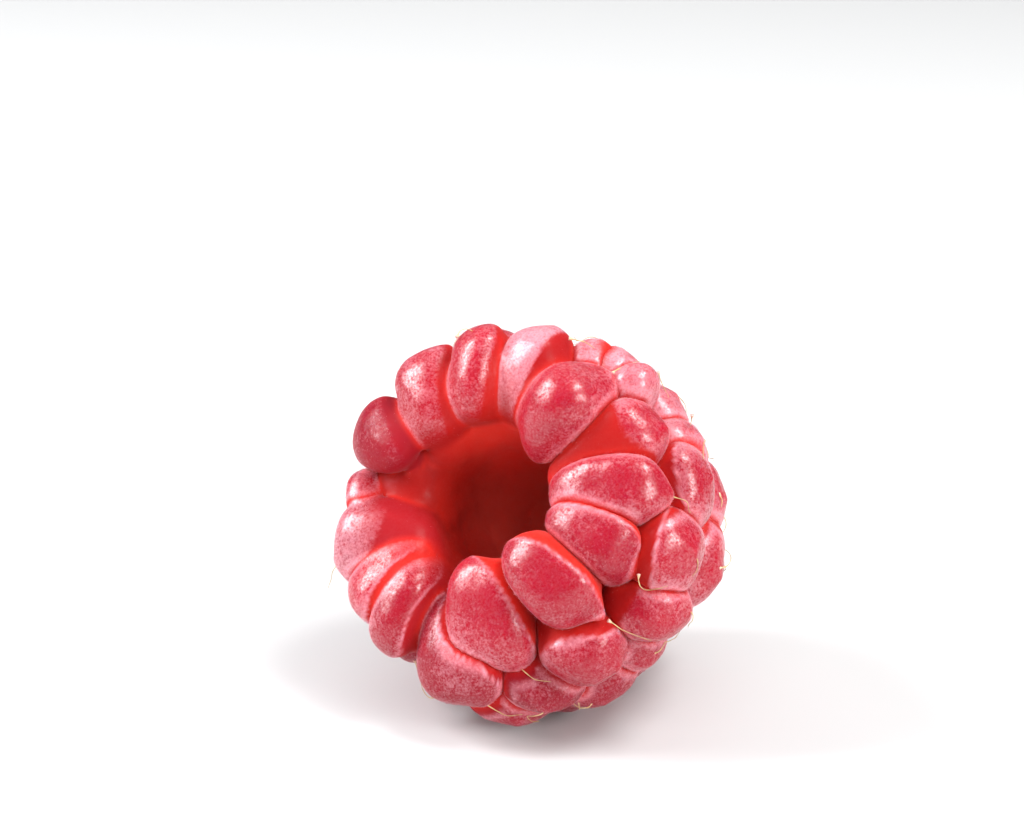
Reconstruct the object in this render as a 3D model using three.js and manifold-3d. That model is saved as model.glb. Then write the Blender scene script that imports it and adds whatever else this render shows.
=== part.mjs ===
// Raspberry, picked and lying on its side.
// One fruit: drupelets grown together round the hollow that the white core leaves when the berry is picked.
// Millimetres, +Z up. The hollow's mouth faces -Y and a little upwards, and the berry rests on z = 0.
// The origin is on the surface it rests on, under the middle of the berry's box.

import * as THREE from 'three';
import { mergeVertices } from 'three/addons/utils/BufferGeometryUtils.js';
import Module from 'manifold-3d';

// ---- driving dimensions -------------------------------------------------------------------------

const SCALE = 1;                  // whole-berry size factor
const AXIS_RISE = 23.16;           // degrees the berry's axis climbs towards the mouth
const AXIS_ROLL = 8.01;           // degrees the berry is turned about its own axis
const SEAT = [-0.295, -6.485, 12.891];   // from the middle of the mouth ring to the origin's frame
const FLATTEN = 0.32;             // how far the lowest drupelets are pressed flat where they rest
const DETAIL = 2;                 // facets on one drupelet: 20 x (DETAIL + 1)^2
const SQUARE = 2.5;               // how square a drupelet is across its length (2 is round)
const BLUNT = 2.25;               // how blunt its ends are (2 is round)
const TAPER = 0.12;               // how much slimmer a drupelet of the mouth's ring gets towards the axis
const TAPER_REST = 0.04;          // the same for the others
const RING_ROWS = 22;             // the first rows of DRUPELETS are the mouth's ring
const TRIM = [0.995, 0.975, 0.975]; // share of the listed half sizes: length, width, height
const SHORTEST_EDGE = 0.34;       // edges shorter than this are closed up after the joins

// Hollow left by the core: radius against depth along the axis (0 is the mouth ring's middle, minus is deeper)
const HOLLOW = [
  [5.75, -0.75], [5.10, -1.15], [4.60, -1.9], [4.30, -3.0], [4.02, -5.0], [3.62, -7.0], [3.08, -9.0], [2.40, -11.0], [1.60, -12.5], [0, -13.3],
];
// Back of the flesh that joins the drupelets, under their rounded ends, listed from the tip to the mouth
const FLESH_BACK = [
  [0, -16.0], [2.8, -15.5], [4.7, -14.0], [6.2, -12.0], [7.2, -10.0], [7.9, -8.0], [8.3, -6.0], [8.3, -4.0], [7.6, -2.3], [6.8, -1.1],
];
// Where the core's way out is opened up again after the drupelets are joined on
const HOLLOW_TOP = [
  [0, -2.1], [3.2, -2.3], [4.30, -3.0],
];
const HOLLOW_SIDES = 26;

// Drupelets, in the berry's own frame (z along the axis, out of the mouth):
// centre x, y, z; tilt up the axis, skew sideways and roll about its own length, in degrees;
// half length (outwards from the axis), half width (round the berry), half height
const DRUPELETS = [
  [-4.07, 6.06, -0.42, -13.0, -12.8, 4.0, 3.10, 2.30, 2.15],
  [-1.03, 7.27, -0.26, -10.6, -10.5, -15.7, 3.07, 1.82, 2.34],
  [1.88, 7.23, -1.04, 2.1, 0.5, -9.2, 3.10, 2.35, 2.38],
  [4.19, 7.58, -2.84, 41.0, 6.2, -0.6, 2.30, 1.75, 1.75],
  [3.93, 5.21, -0.56, 16.6, -5.5, -16.6, 3.22, 2.27, 2.93],
  [6.02, 3.03, -1.23, 2.7, 13.2, 14.4, 3.85, 2.41, 2.18],
  [6.41, 6.31, -2.49, 19.2, -1.2, -0.4, 2.57, 1.41, 1.62],
  [4.95, 6.84, -3.16, 16.8, -0.2, -1.2, 2.71, 2.14, 1.90],
  [6.80, 5.27, -4.87, -2.0, 1.6, 2.8, 2.35, 2.28, 1.77],
  [7.86, 3.40, -4.67, -4.5, -0.7, -2.8, 2.67, 2.03, 2.21],
  [8.43, 1.53, -3.70, -0.3, -0.6, 10.2, 3.00, 2.76, 1.97],
  [8.07, 1.34, -7.31, -9.5, -1.7, 2.6, 2.60, 2.55, 1.89],
  [6.76, 1.04, -0.51, -4.7, -3.6, -0.9, 3.46, 2.14, 2.09],
  [6.19, -1.34, -0.33, -3.4, -18.0, -14.6, 2.93, 2.08, 2.37],
  [4.20, -3.62, 0.61, -7.2, -1.9, -3.7, 3.07, 2.21, 2.47],
  [0.40, -5.64, -0.28, -12.5, -0.0, 3.6, 3.34, 2.68, 2.35],
  [-1.44, -7.65, -0.55, -1.8, 12.1, 6.5, 3.34, 2.90, 1.93],
  [-4.69, -5.59, -0.76, -7.7, 19.3, 15.2, 3.20, 1.88, 2.62],
  [-5.77, -4.17, -0.67, -2.1, -0.9, 18.4, 3.17, 2.01, 2.26],
  [-6.53, -2.11, -1.06, 1.1, -19.3, -10.2, 3.63, 2.79, 2.03],
  [-8.56, 0.23, -1.89, 84.5, 0.4, 17.1, 1.83, 2.12, 1.19],
  [-6.91, 3.85, -0.33, -26.3, -6.7, -0.8, 2.77, 2.40, 1.59],
  [4.39, -6.53, -2.06, 22.6, 18.9, -1.1, 3.65, 2.53, 2.31],
  [8.03, -4.79, -2.94, 0.5, 19.9, 7.4, 2.70, 2.10, 2.22],
  [9.26, -1.96, -2.15, 22.7, -0.4, -4.4, 2.26, 2.57, 2.40],
  [8.70, -1.95, -6.46, -11.3, 0.3, 0.3, 2.45, 2.91, 1.90],
  [6.19, -5.95, -4.68, 5.6, 1.0, -0.1, 2.81, 2.09, 1.91],
  [2.36, -8.30, -2.55, 22.2, 3.7, -30.6, 3.00, 2.76, 1.47],
  [4.21, -8.13, -4.98, 8.0, -0.7, -3.6, 2.47, 2.69, 1.92],
  [0.45, -9.58, -2.86, 6.6, -1.0, -6.7, 2.26, 2.76, 1.94],
  [-3.05, -7.89, -3.83, 6.4, 4.0, -1.9, 2.90, 2.31, 2.42],
  [-7.55, -3.50, -3.96, -5.7, -3.5, 10.6, 3.02, 2.06, 2.13],
  [-5.57, 6.48, -4.46, 3.1, 1.4, -2.8, 2.87, 2.39, 2.36],
  [-2.81, 8.06, -4.59, 2.2, -0.5, -12.9, 2.83, 2.44, 2.45],
  [2.51, 7.08, -4.62, -6.3, 0.3, -3.4, 2.83, 2.14, 2.03],
  [0.09, 7.70, -4.78, 0.9, 2.8, 13.3, 2.86, 2.15, 2.11],
  [-5.94, -5.83, -4.77, -3.7, 1.6, 11.5, 2.98, 2.40, 2.34],
  [-7.53, 4.27, -4.91, -3.4, -4.0, 17.3, 2.82, 2.15, 2.27],
  [-8.45, -0.91, -5.03, -7.8, -0.8, -11.2, 2.97, 2.47, 2.37],
  [1.61, -7.91, -6.15, -17.0, 1.6, -3.3, 3.03, 2.16, 2.09],
  [-1.05, -8.45, -6.20, -12.1, -2.7, -8.6, 2.87, 2.44, 2.28],
  [-4.03, -7.76, -6.61, -9.8, -3.2, 11.9, 2.92, 2.34, 2.17],
  [4.43, 6.08, -6.30, -11.6, -0.6, 9.5, 2.89, 2.16, 2.09],
  [-7.75, 1.73, -6.59, -20.2, -1.9, -7.2, 3.11, 2.39, 2.24],
  [6.43, -4.19, -6.91, -10.6, 3.1, 5.2, 2.77, 2.40, 2.10],
  [-5.40, -2.66, -6.28, -20.4, -0.2, -7.3, 2.95, 2.11, 1.96],
  [-4.06, 6.95, -7.53, -14.2, -4.0, -1.7, 2.83, 2.44, 2.40],
  [-6.31, 4.79, -7.66, -13.2, 2.2, -13.8, 3.09, 2.42, 2.41],
  [1.83, 7.62, -7.73, -21.2, -5.0, 2.1, 2.87, 2.36, 2.20],
  [-1.16, 7.77, -7.83, -19.0, -1.2, -0.5, 2.90, 2.41, 2.31],
  [4.19, -6.08, -7.68, -19.9, -1.8, 4.3, 2.86, 2.45, 2.38],
  [6.08, 3.78, -7.88, -18.8, 1.0, 13.9, 2.88, 2.42, 2.16],
  [-5.25, -6.18, -8.78, -19.0, -1.8, 5.0, 2.97, 2.45, 2.35],
  [-7.32, -0.79, -8.64, -22.9, -2.6, -3.8, 2.92, 2.44, 2.40],
  [1.10, -7.29, -9.09, -19.7, 2.4, -10.1, 3.07, 2.42, 2.44],
  [-2.23, -6.99, -9.23, -24.0, 1.0, -10.8, 2.94, 2.56, 2.31],
  [6.87, -1.52, -9.39, -19.5, 1.6, 5.3, 3.06, 2.34, 2.18],
  [3.89, 5.92, -9.70, -21.4, 0.6, -4.7, 2.86, 2.30, 2.29],
  [-6.72, 2.26, -9.86, -27.1, 3.7, 7.2, 2.88, 2.54, 2.47],
  [5.00, -3.64, -10.16, -27.1, -5.1, 12.7, 2.97, 2.28, 2.26],
  [6.42, 1.27, -10.38, -23.7, -4.7, 3.1, 2.93, 2.43, 2.23],
  [-4.63, 4.81, -10.48, -24.0, 1.6, 2.2, 2.97, 2.38, 2.40],
  [-3.96, -1.99, -9.43, -29.6, 2.5, 9.1, 3.10, 2.06, 2.01],
  [0.91, 6.53, -10.94, -31.2, 1.0, -4.9, 2.89, 2.52, 2.30],
  [-2.05, 6.17, -10.92, -29.6, 3.2, -4.2, 2.84, 2.48, 2.52],
  [2.69, -5.64, -11.11, -23.0, 2.0, 5.2, 3.08, 2.42, 2.32],
  [5.07, 3.59, -11.23, -26.5, 1.5, 6.4, 2.93, 2.10, 2.07],
  [-3.66, -5.58, -11.92, -35.8, -0.6, 4.5, 2.85, 2.53, 2.35],
  [-0.50, -6.16, -11.75, -30.1, -4.4, -16.0, 2.87, 2.44, 2.34],
  [-5.91, -0.30, -12.03, -32.4, -2.6, 7.5, 2.96, 2.54, 2.52],
  [5.33, -1.05, -12.54, -34.2, -8.8, 0.7, 2.97, 2.41, 2.34],
  [-4.84, 2.37, -12.80, -38.3, 1.2, -2.5, 2.92, 2.32, 2.26],
  [2.70, 4.40, -12.92, -41.2, -5.0, 19.8, 2.81, 2.46, 2.46],
  [-2.76, 3.98, -13.29, -49.3, 0.5, 2.6, 2.87, 2.38, 2.25],
  [3.74, -3.30, -13.55, -42.9, 3.4, 13.6, 2.70, 2.38, 2.32],
  [1.10, -5.26, -13.73, -40.5, 0.9, 0.2, 3.01, 2.38, 2.13],
  [4.58, 1.81, -13.68, -44.8, -1.2, -17.3, 2.70, 2.35, 2.46],
  [-0.08, 4.65, -13.57, -44.6, -3.3, 12.2, 2.94, 2.54, 2.50],
  [-3.93, -2.28, -13.50, -45.8, -7.5, -3.7, 3.07, 2.46, 2.44],
  [-1.47, -4.26, -14.26, -41.5, 1.5, 0.5, 2.96, 2.35, 2.31],
  [-2.28, 0.34, -12.77, -54.4, -0.1, 1.3, 2.87, 1.96, 1.92],
  [2.85, -0.47, -14.84, -57.7, -7.1, 6.1, 3.05, 2.37, 2.41],
  [1.63, 2.33, -15.12, -54.4, -0.3, 7.9, 2.80, 2.43, 2.43],
  [0.90, -2.27, -15.29, -61.7, -0.7, 7.7, 3.00, 2.36, 2.41],
  [-1.21, 2.22, -15.47, -56.3, -2.2, 2.0, 2.78, 2.51, 2.49],
  [-1.64, -1.26, -15.57, -66.1, -2.4, 8.7, 2.85, 2.38, 2.27],
  [0.44, 0.18, -15.88, -81.5, 7.4, 11.9, 3.05, 2.27, 2.36],
  [-6.90, 1.05, -2.35, -8.0, 0.0, 0.0, 2.40, 1.75, 1.55],
  [2.43, -6.67, -1.91, 0.0, 0.0, 0.0, 1.35, 1.30, 1.30],
];

// ---- helpers ------------------------------------------------------------------------------------

const wasm = await Module();
wasm.setup();

const rad = THREE.MathUtils.degToRad;

// A closed BufferGeometry as a solid: shared vertices merged and pole slivers dropped
function solid(geometry) {
  let g = geometry.clone();
  g.deleteAttribute('normal');
  g.deleteAttribute('uv');
  g = mergeVertices(g, 1e-4);
  const index = g.index.array;
  const tri = [];
  for (let i = 0; i < index.length; i += 3) {
    const [a, b, c] = [index[i], index[i + 1], index[i + 2]];
    if (a !== b && b !== c && c !== a) tri.push(a, b, c);
  }
  return new wasm.Manifold(new wasm.Mesh({
    numProp: 3,
    vertProperties: new Float32Array(g.attributes.position.array),
    triVerts: new Uint32Array(tri),
  }));
}

// Berry frame to row frame
function berryMatrix() {
  const s = Math.sin(rad(AXIS_RISE)), c = Math.cos(rad(AXIS_RISE));
  const lean = new THREE.Matrix4().makeBasis(
    new THREE.Vector3(1, 0, 0), new THREE.Vector3(0, s, c), new THREE.Vector3(0, -c, s));
  return new THREE.Matrix4().makeTranslation(...SEAT)
    .multiply(lean).multiply(new THREE.Matrix4().makeRotationZ(rad(AXIS_ROLL)));
}

// A drupelet's own axes: its length points outwards from the berry's axis
function drupeletMatrix([x, y, z, tilt, skew, roll, along, across, high]) {
  const r = Math.hypot(x, y);
  const out = new THREE.Vector3(x / r, y / r, 0);
  const side = new THREE.Vector3(-y / r, x / r, 0);
  const t = rad(tilt), k = rad(skew), q = rad(roll);
  const d = out.clone().multiplyScalar(Math.cos(k) * Math.cos(t))
    .addScaledVector(side, Math.sin(k) * Math.cos(t)).add(new THREE.Vector3(0, 0, Math.sin(t)));
  const u = side.clone().addScaledVector(d, -side.dot(d)).normalize();
  const v = d.clone().cross(u);
  const u2 = u.clone().multiplyScalar(Math.cos(q)).addScaledVector(v, Math.sin(q));
  const v2 = u.clone().multiplyScalar(-Math.sin(q)).addScaledVector(v, Math.cos(q));
  return new THREE.Matrix4().makeBasis(d, u2, v2).setPosition(x, y, z)
    .scale(new THREE.Vector3(along * TRIM[0], across * TRIM[1], high * TRIM[2]));
}

// A ball squared off a little, blunt at its ends and slimmer towards the axis (-x)
function drupeletBall(taper) {
  const g = new THREE.IcosahedronGeometry(1, DETAIL);
  const p = g.attributes.position;
  for (let i = 0; i < p.count; i++) {
    const d = new THREE.Vector3().fromBufferAttribute(p, i).normalize();
    let t = 1;
    for (let k = 0; k < 12; k++) {
      const w = 1 + taper * THREE.MathUtils.clamp(t * d.x, -1.2, 1.2);
      const across = (Math.abs(d.y / w) ** SQUARE + Math.abs(d.z / w) ** SQUARE) ** (1 / SQUARE);
      t = 1 / (Math.abs(d.x) ** BLUNT + across ** BLUNT) ** (1 / BLUNT);
    }
    p.setXYZ(i, t * d.x, t * d.y, t * d.z);
  }
  return g;
}

// Close up edges shorter than `shortest`, keeping the surface closed and the resting facets flat.
// Only the outer surface is kept: small pockets between drupelets, deep in the flesh, are filled.
function closeShortEdges(mesh, shortest) {
  const P = [];
  for (let i = 0; i < mesh.vertProperties.length; i += mesh.numProp)
    P.push(new THREE.Vector3(mesh.vertProperties[i], mesh.vertProperties[i + 1], mesh.vertProperties[i + 2]));
  const T = [];
  for (let i = 0; i < mesh.triVerts.length; i += 3) T.push([mesh.triVerts[i], mesh.triVerts[i + 1], mesh.triVerts[i + 2]]);
  const around = P.map(() => new Set());
  T.forEach((t, i) => t.forEach((v) => around[v].add(i)));
  const ring = (v) => { const s = new Set(); for (const i of around[v]) for (const w of T[i]) if (w !== v) s.add(w); return s; };
  const normal = (p, q, r) => new THREE.Vector3().subVectors(q, p).cross(new THREE.Vector3().subVectors(r, p));
  const onFloor = (v) => P[v].z < 1e-6;
  for (let pass = 0; pass < 12; pass++) {
    const edges = [];
    T.forEach((t) => { if (t) for (let k = 0; k < 3; k++) { const a = t[k], b = t[(k + 1) % 3]; if (a < b) { const l = P[a].distanceTo(P[b]); if (l < shortest) edges.push([l, a, b]); } } });
    edges.sort((m, n) => m[0] - n[0] || m[1] - n[1] || m[2] - n[2]);
    let closed = 0;
    for (const [, a, b] of edges) {
      if (!around[a].size || !around[b].size) continue;
      if (P[a].distanceTo(P[b]) >= shortest) continue;
      const ra = ring(a), rb = ring(b);
      if (!ra.has(b)) continue;
      let common = 0;
      for (const w of ra) if (rb.has(w)) common++;
      if (common !== 2) continue;
      const to = onFloor(a) === onFloor(b) ? P[a].clone().add(P[b]).multiplyScalar(0.5) : (onFloor(a) ? P[a] : P[b]).clone();
      let good = true;
      for (const [v, other] of [[a, b], [b, a]]) for (const i of around[v]) {
        const t = T[i];
        if (t.includes(other)) continue;
        const before = normal(P[t[0]], P[t[1]], P[t[2]]);
        const q = t.map((w) => (w === v ? to : P[w]));
        const after = normal(...q);
        const longest = Math.max(q[0].distanceTo(q[1]), q[1].distanceTo(q[2]), q[2].distanceTo(q[0]));
        if (after.length() / longest < 0.01 || (before.length() > 1e-6 && before.normalize().dot(after.normalize()) < 0.3)) { good = false; break; }
      }
      if (!good) continue;
      for (const i of [...around[b]]) {
        const t = T[i];
        if (t.includes(a)) { t.forEach((w) => around[w].delete(i)); T[i] = null; } else { t[t.indexOf(b)] = a; around[a].add(i); }
      }
      around[b].clear();
      P[a] = to;
      closed++;
    }
    if (!closed) break;
  }
  // the outer surface is the connected one that the topmost corner belongs to
  let top = -1;
  T.forEach((t) => { if (t) for (const v of t) if (top < 0 || P[v].z > P[top].z) top = v; });
  const outer = new Set([top]), queue = [top];
  while (queue.length) for (const w of ring(queue.pop())) if (!outer.has(w)) { outer.add(w); queue.push(w); }
  const name = new Map(), position = [], index = [];
  for (const t of T) if (t && outer.has(t[0])) for (const v of t) {
    if (!name.has(v)) { name.set(v, name.size); position.push(P[v].x, P[v].y, P[v].z); }
    index.push(name.get(v));
  }
  const g = new THREE.BufferGeometry();
  g.setAttribute('position', new THREE.Float32BufferAttribute(position, 3));
  g.setIndex(index);
  return g;
}

// ---- the berry ----------------------------------------------------------------------------------

const place = berryMatrix();

// flesh that joins the drupelets, a thick cup round the hollow
const cup = new THREE.LatheGeometry(
  [...FLESH_BACK, ...HOLLOW].map(([r, z]) => new THREE.Vector2(r, z)), HOLLOW_SIDES);
cup.rotateX(Math.PI / 2);
cup.applyMatrix4(place);
let berry = solid(cup);
if (berry.volume() < 0) throw new Error('the cup is inside out');

DRUPELETS.forEach((row, i) => {
  const g = drupeletBall(i < RING_ROWS ? TAPER : TAPER_REST);
  g.applyMatrix4(drupeletMatrix(row));
  g.applyMatrix4(place);
  berry = berry.add(solid(g));
});

// the core's way out, opened up under the ring
const core = new THREE.LatheGeometry(
  [...HOLLOW_TOP, ...HOLLOW.slice(HOLLOW.findIndex(([, z]) => z < HOLLOW_TOP.at(-1)[1]))]
    .reverse().map(([r, z]) => new THREE.Vector2(r, z)), HOLLOW_SIDES);
core.rotateX(Math.PI / 2);
core.applyMatrix4(place);
berry = berry.subtract(solid(core));

// pressed flat where it rests
const floor = new THREE.BoxGeometry(60, 60, 10);
floor.translate(0, 0, -5);
berry = berry.subtract(solid(floor));

const skin = closeShortEdges(berry.getMesh(), SHORTEST_EDGE);
skin.scale(SCALE, SCALE, SCALE);
const facets = skin.toNonIndexed();
facets.computeVertexNormals();

const raspberry = new THREE.Mesh(facets, new THREE.MeshStandardMaterial({ color: 0xc8243a, roughness: 0.42, metalness: 0 }));
raspberry.name = 'raspberry';

const part = new THREE.Group();
part.add(raspberry);
export default part;
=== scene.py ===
# Raspberry, picked and lying on its side: the looks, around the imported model.
import math
import bpy
import bmesh
import numpy as np
from mathutils import Matrix, Vector


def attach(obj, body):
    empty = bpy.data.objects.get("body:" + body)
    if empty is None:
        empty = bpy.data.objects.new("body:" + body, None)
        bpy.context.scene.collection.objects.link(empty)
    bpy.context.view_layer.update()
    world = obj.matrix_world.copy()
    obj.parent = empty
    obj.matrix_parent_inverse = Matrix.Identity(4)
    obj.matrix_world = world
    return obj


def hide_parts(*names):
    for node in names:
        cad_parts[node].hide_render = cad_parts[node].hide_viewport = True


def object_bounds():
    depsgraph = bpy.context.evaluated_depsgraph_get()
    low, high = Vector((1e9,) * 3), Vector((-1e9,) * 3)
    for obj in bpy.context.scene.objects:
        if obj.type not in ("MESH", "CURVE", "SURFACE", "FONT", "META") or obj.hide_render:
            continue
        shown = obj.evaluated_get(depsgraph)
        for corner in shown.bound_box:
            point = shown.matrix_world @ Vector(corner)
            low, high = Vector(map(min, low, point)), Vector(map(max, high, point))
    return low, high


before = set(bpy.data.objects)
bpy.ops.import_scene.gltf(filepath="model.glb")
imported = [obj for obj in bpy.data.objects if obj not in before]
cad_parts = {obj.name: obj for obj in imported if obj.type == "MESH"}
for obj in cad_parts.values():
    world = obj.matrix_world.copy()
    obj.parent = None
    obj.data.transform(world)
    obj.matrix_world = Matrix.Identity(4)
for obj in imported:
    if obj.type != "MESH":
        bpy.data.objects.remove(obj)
kept = [list(map(float, v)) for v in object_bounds()]

# ---- the berry's frame, as in the model (millimetres and degrees) ---------------------------------
AXIS_RISE = 23.16
AXIS_ROLL = 8.01
SEAT = np.array([-0.295, -6.485, 12.891])
MM = 0.001

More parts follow.
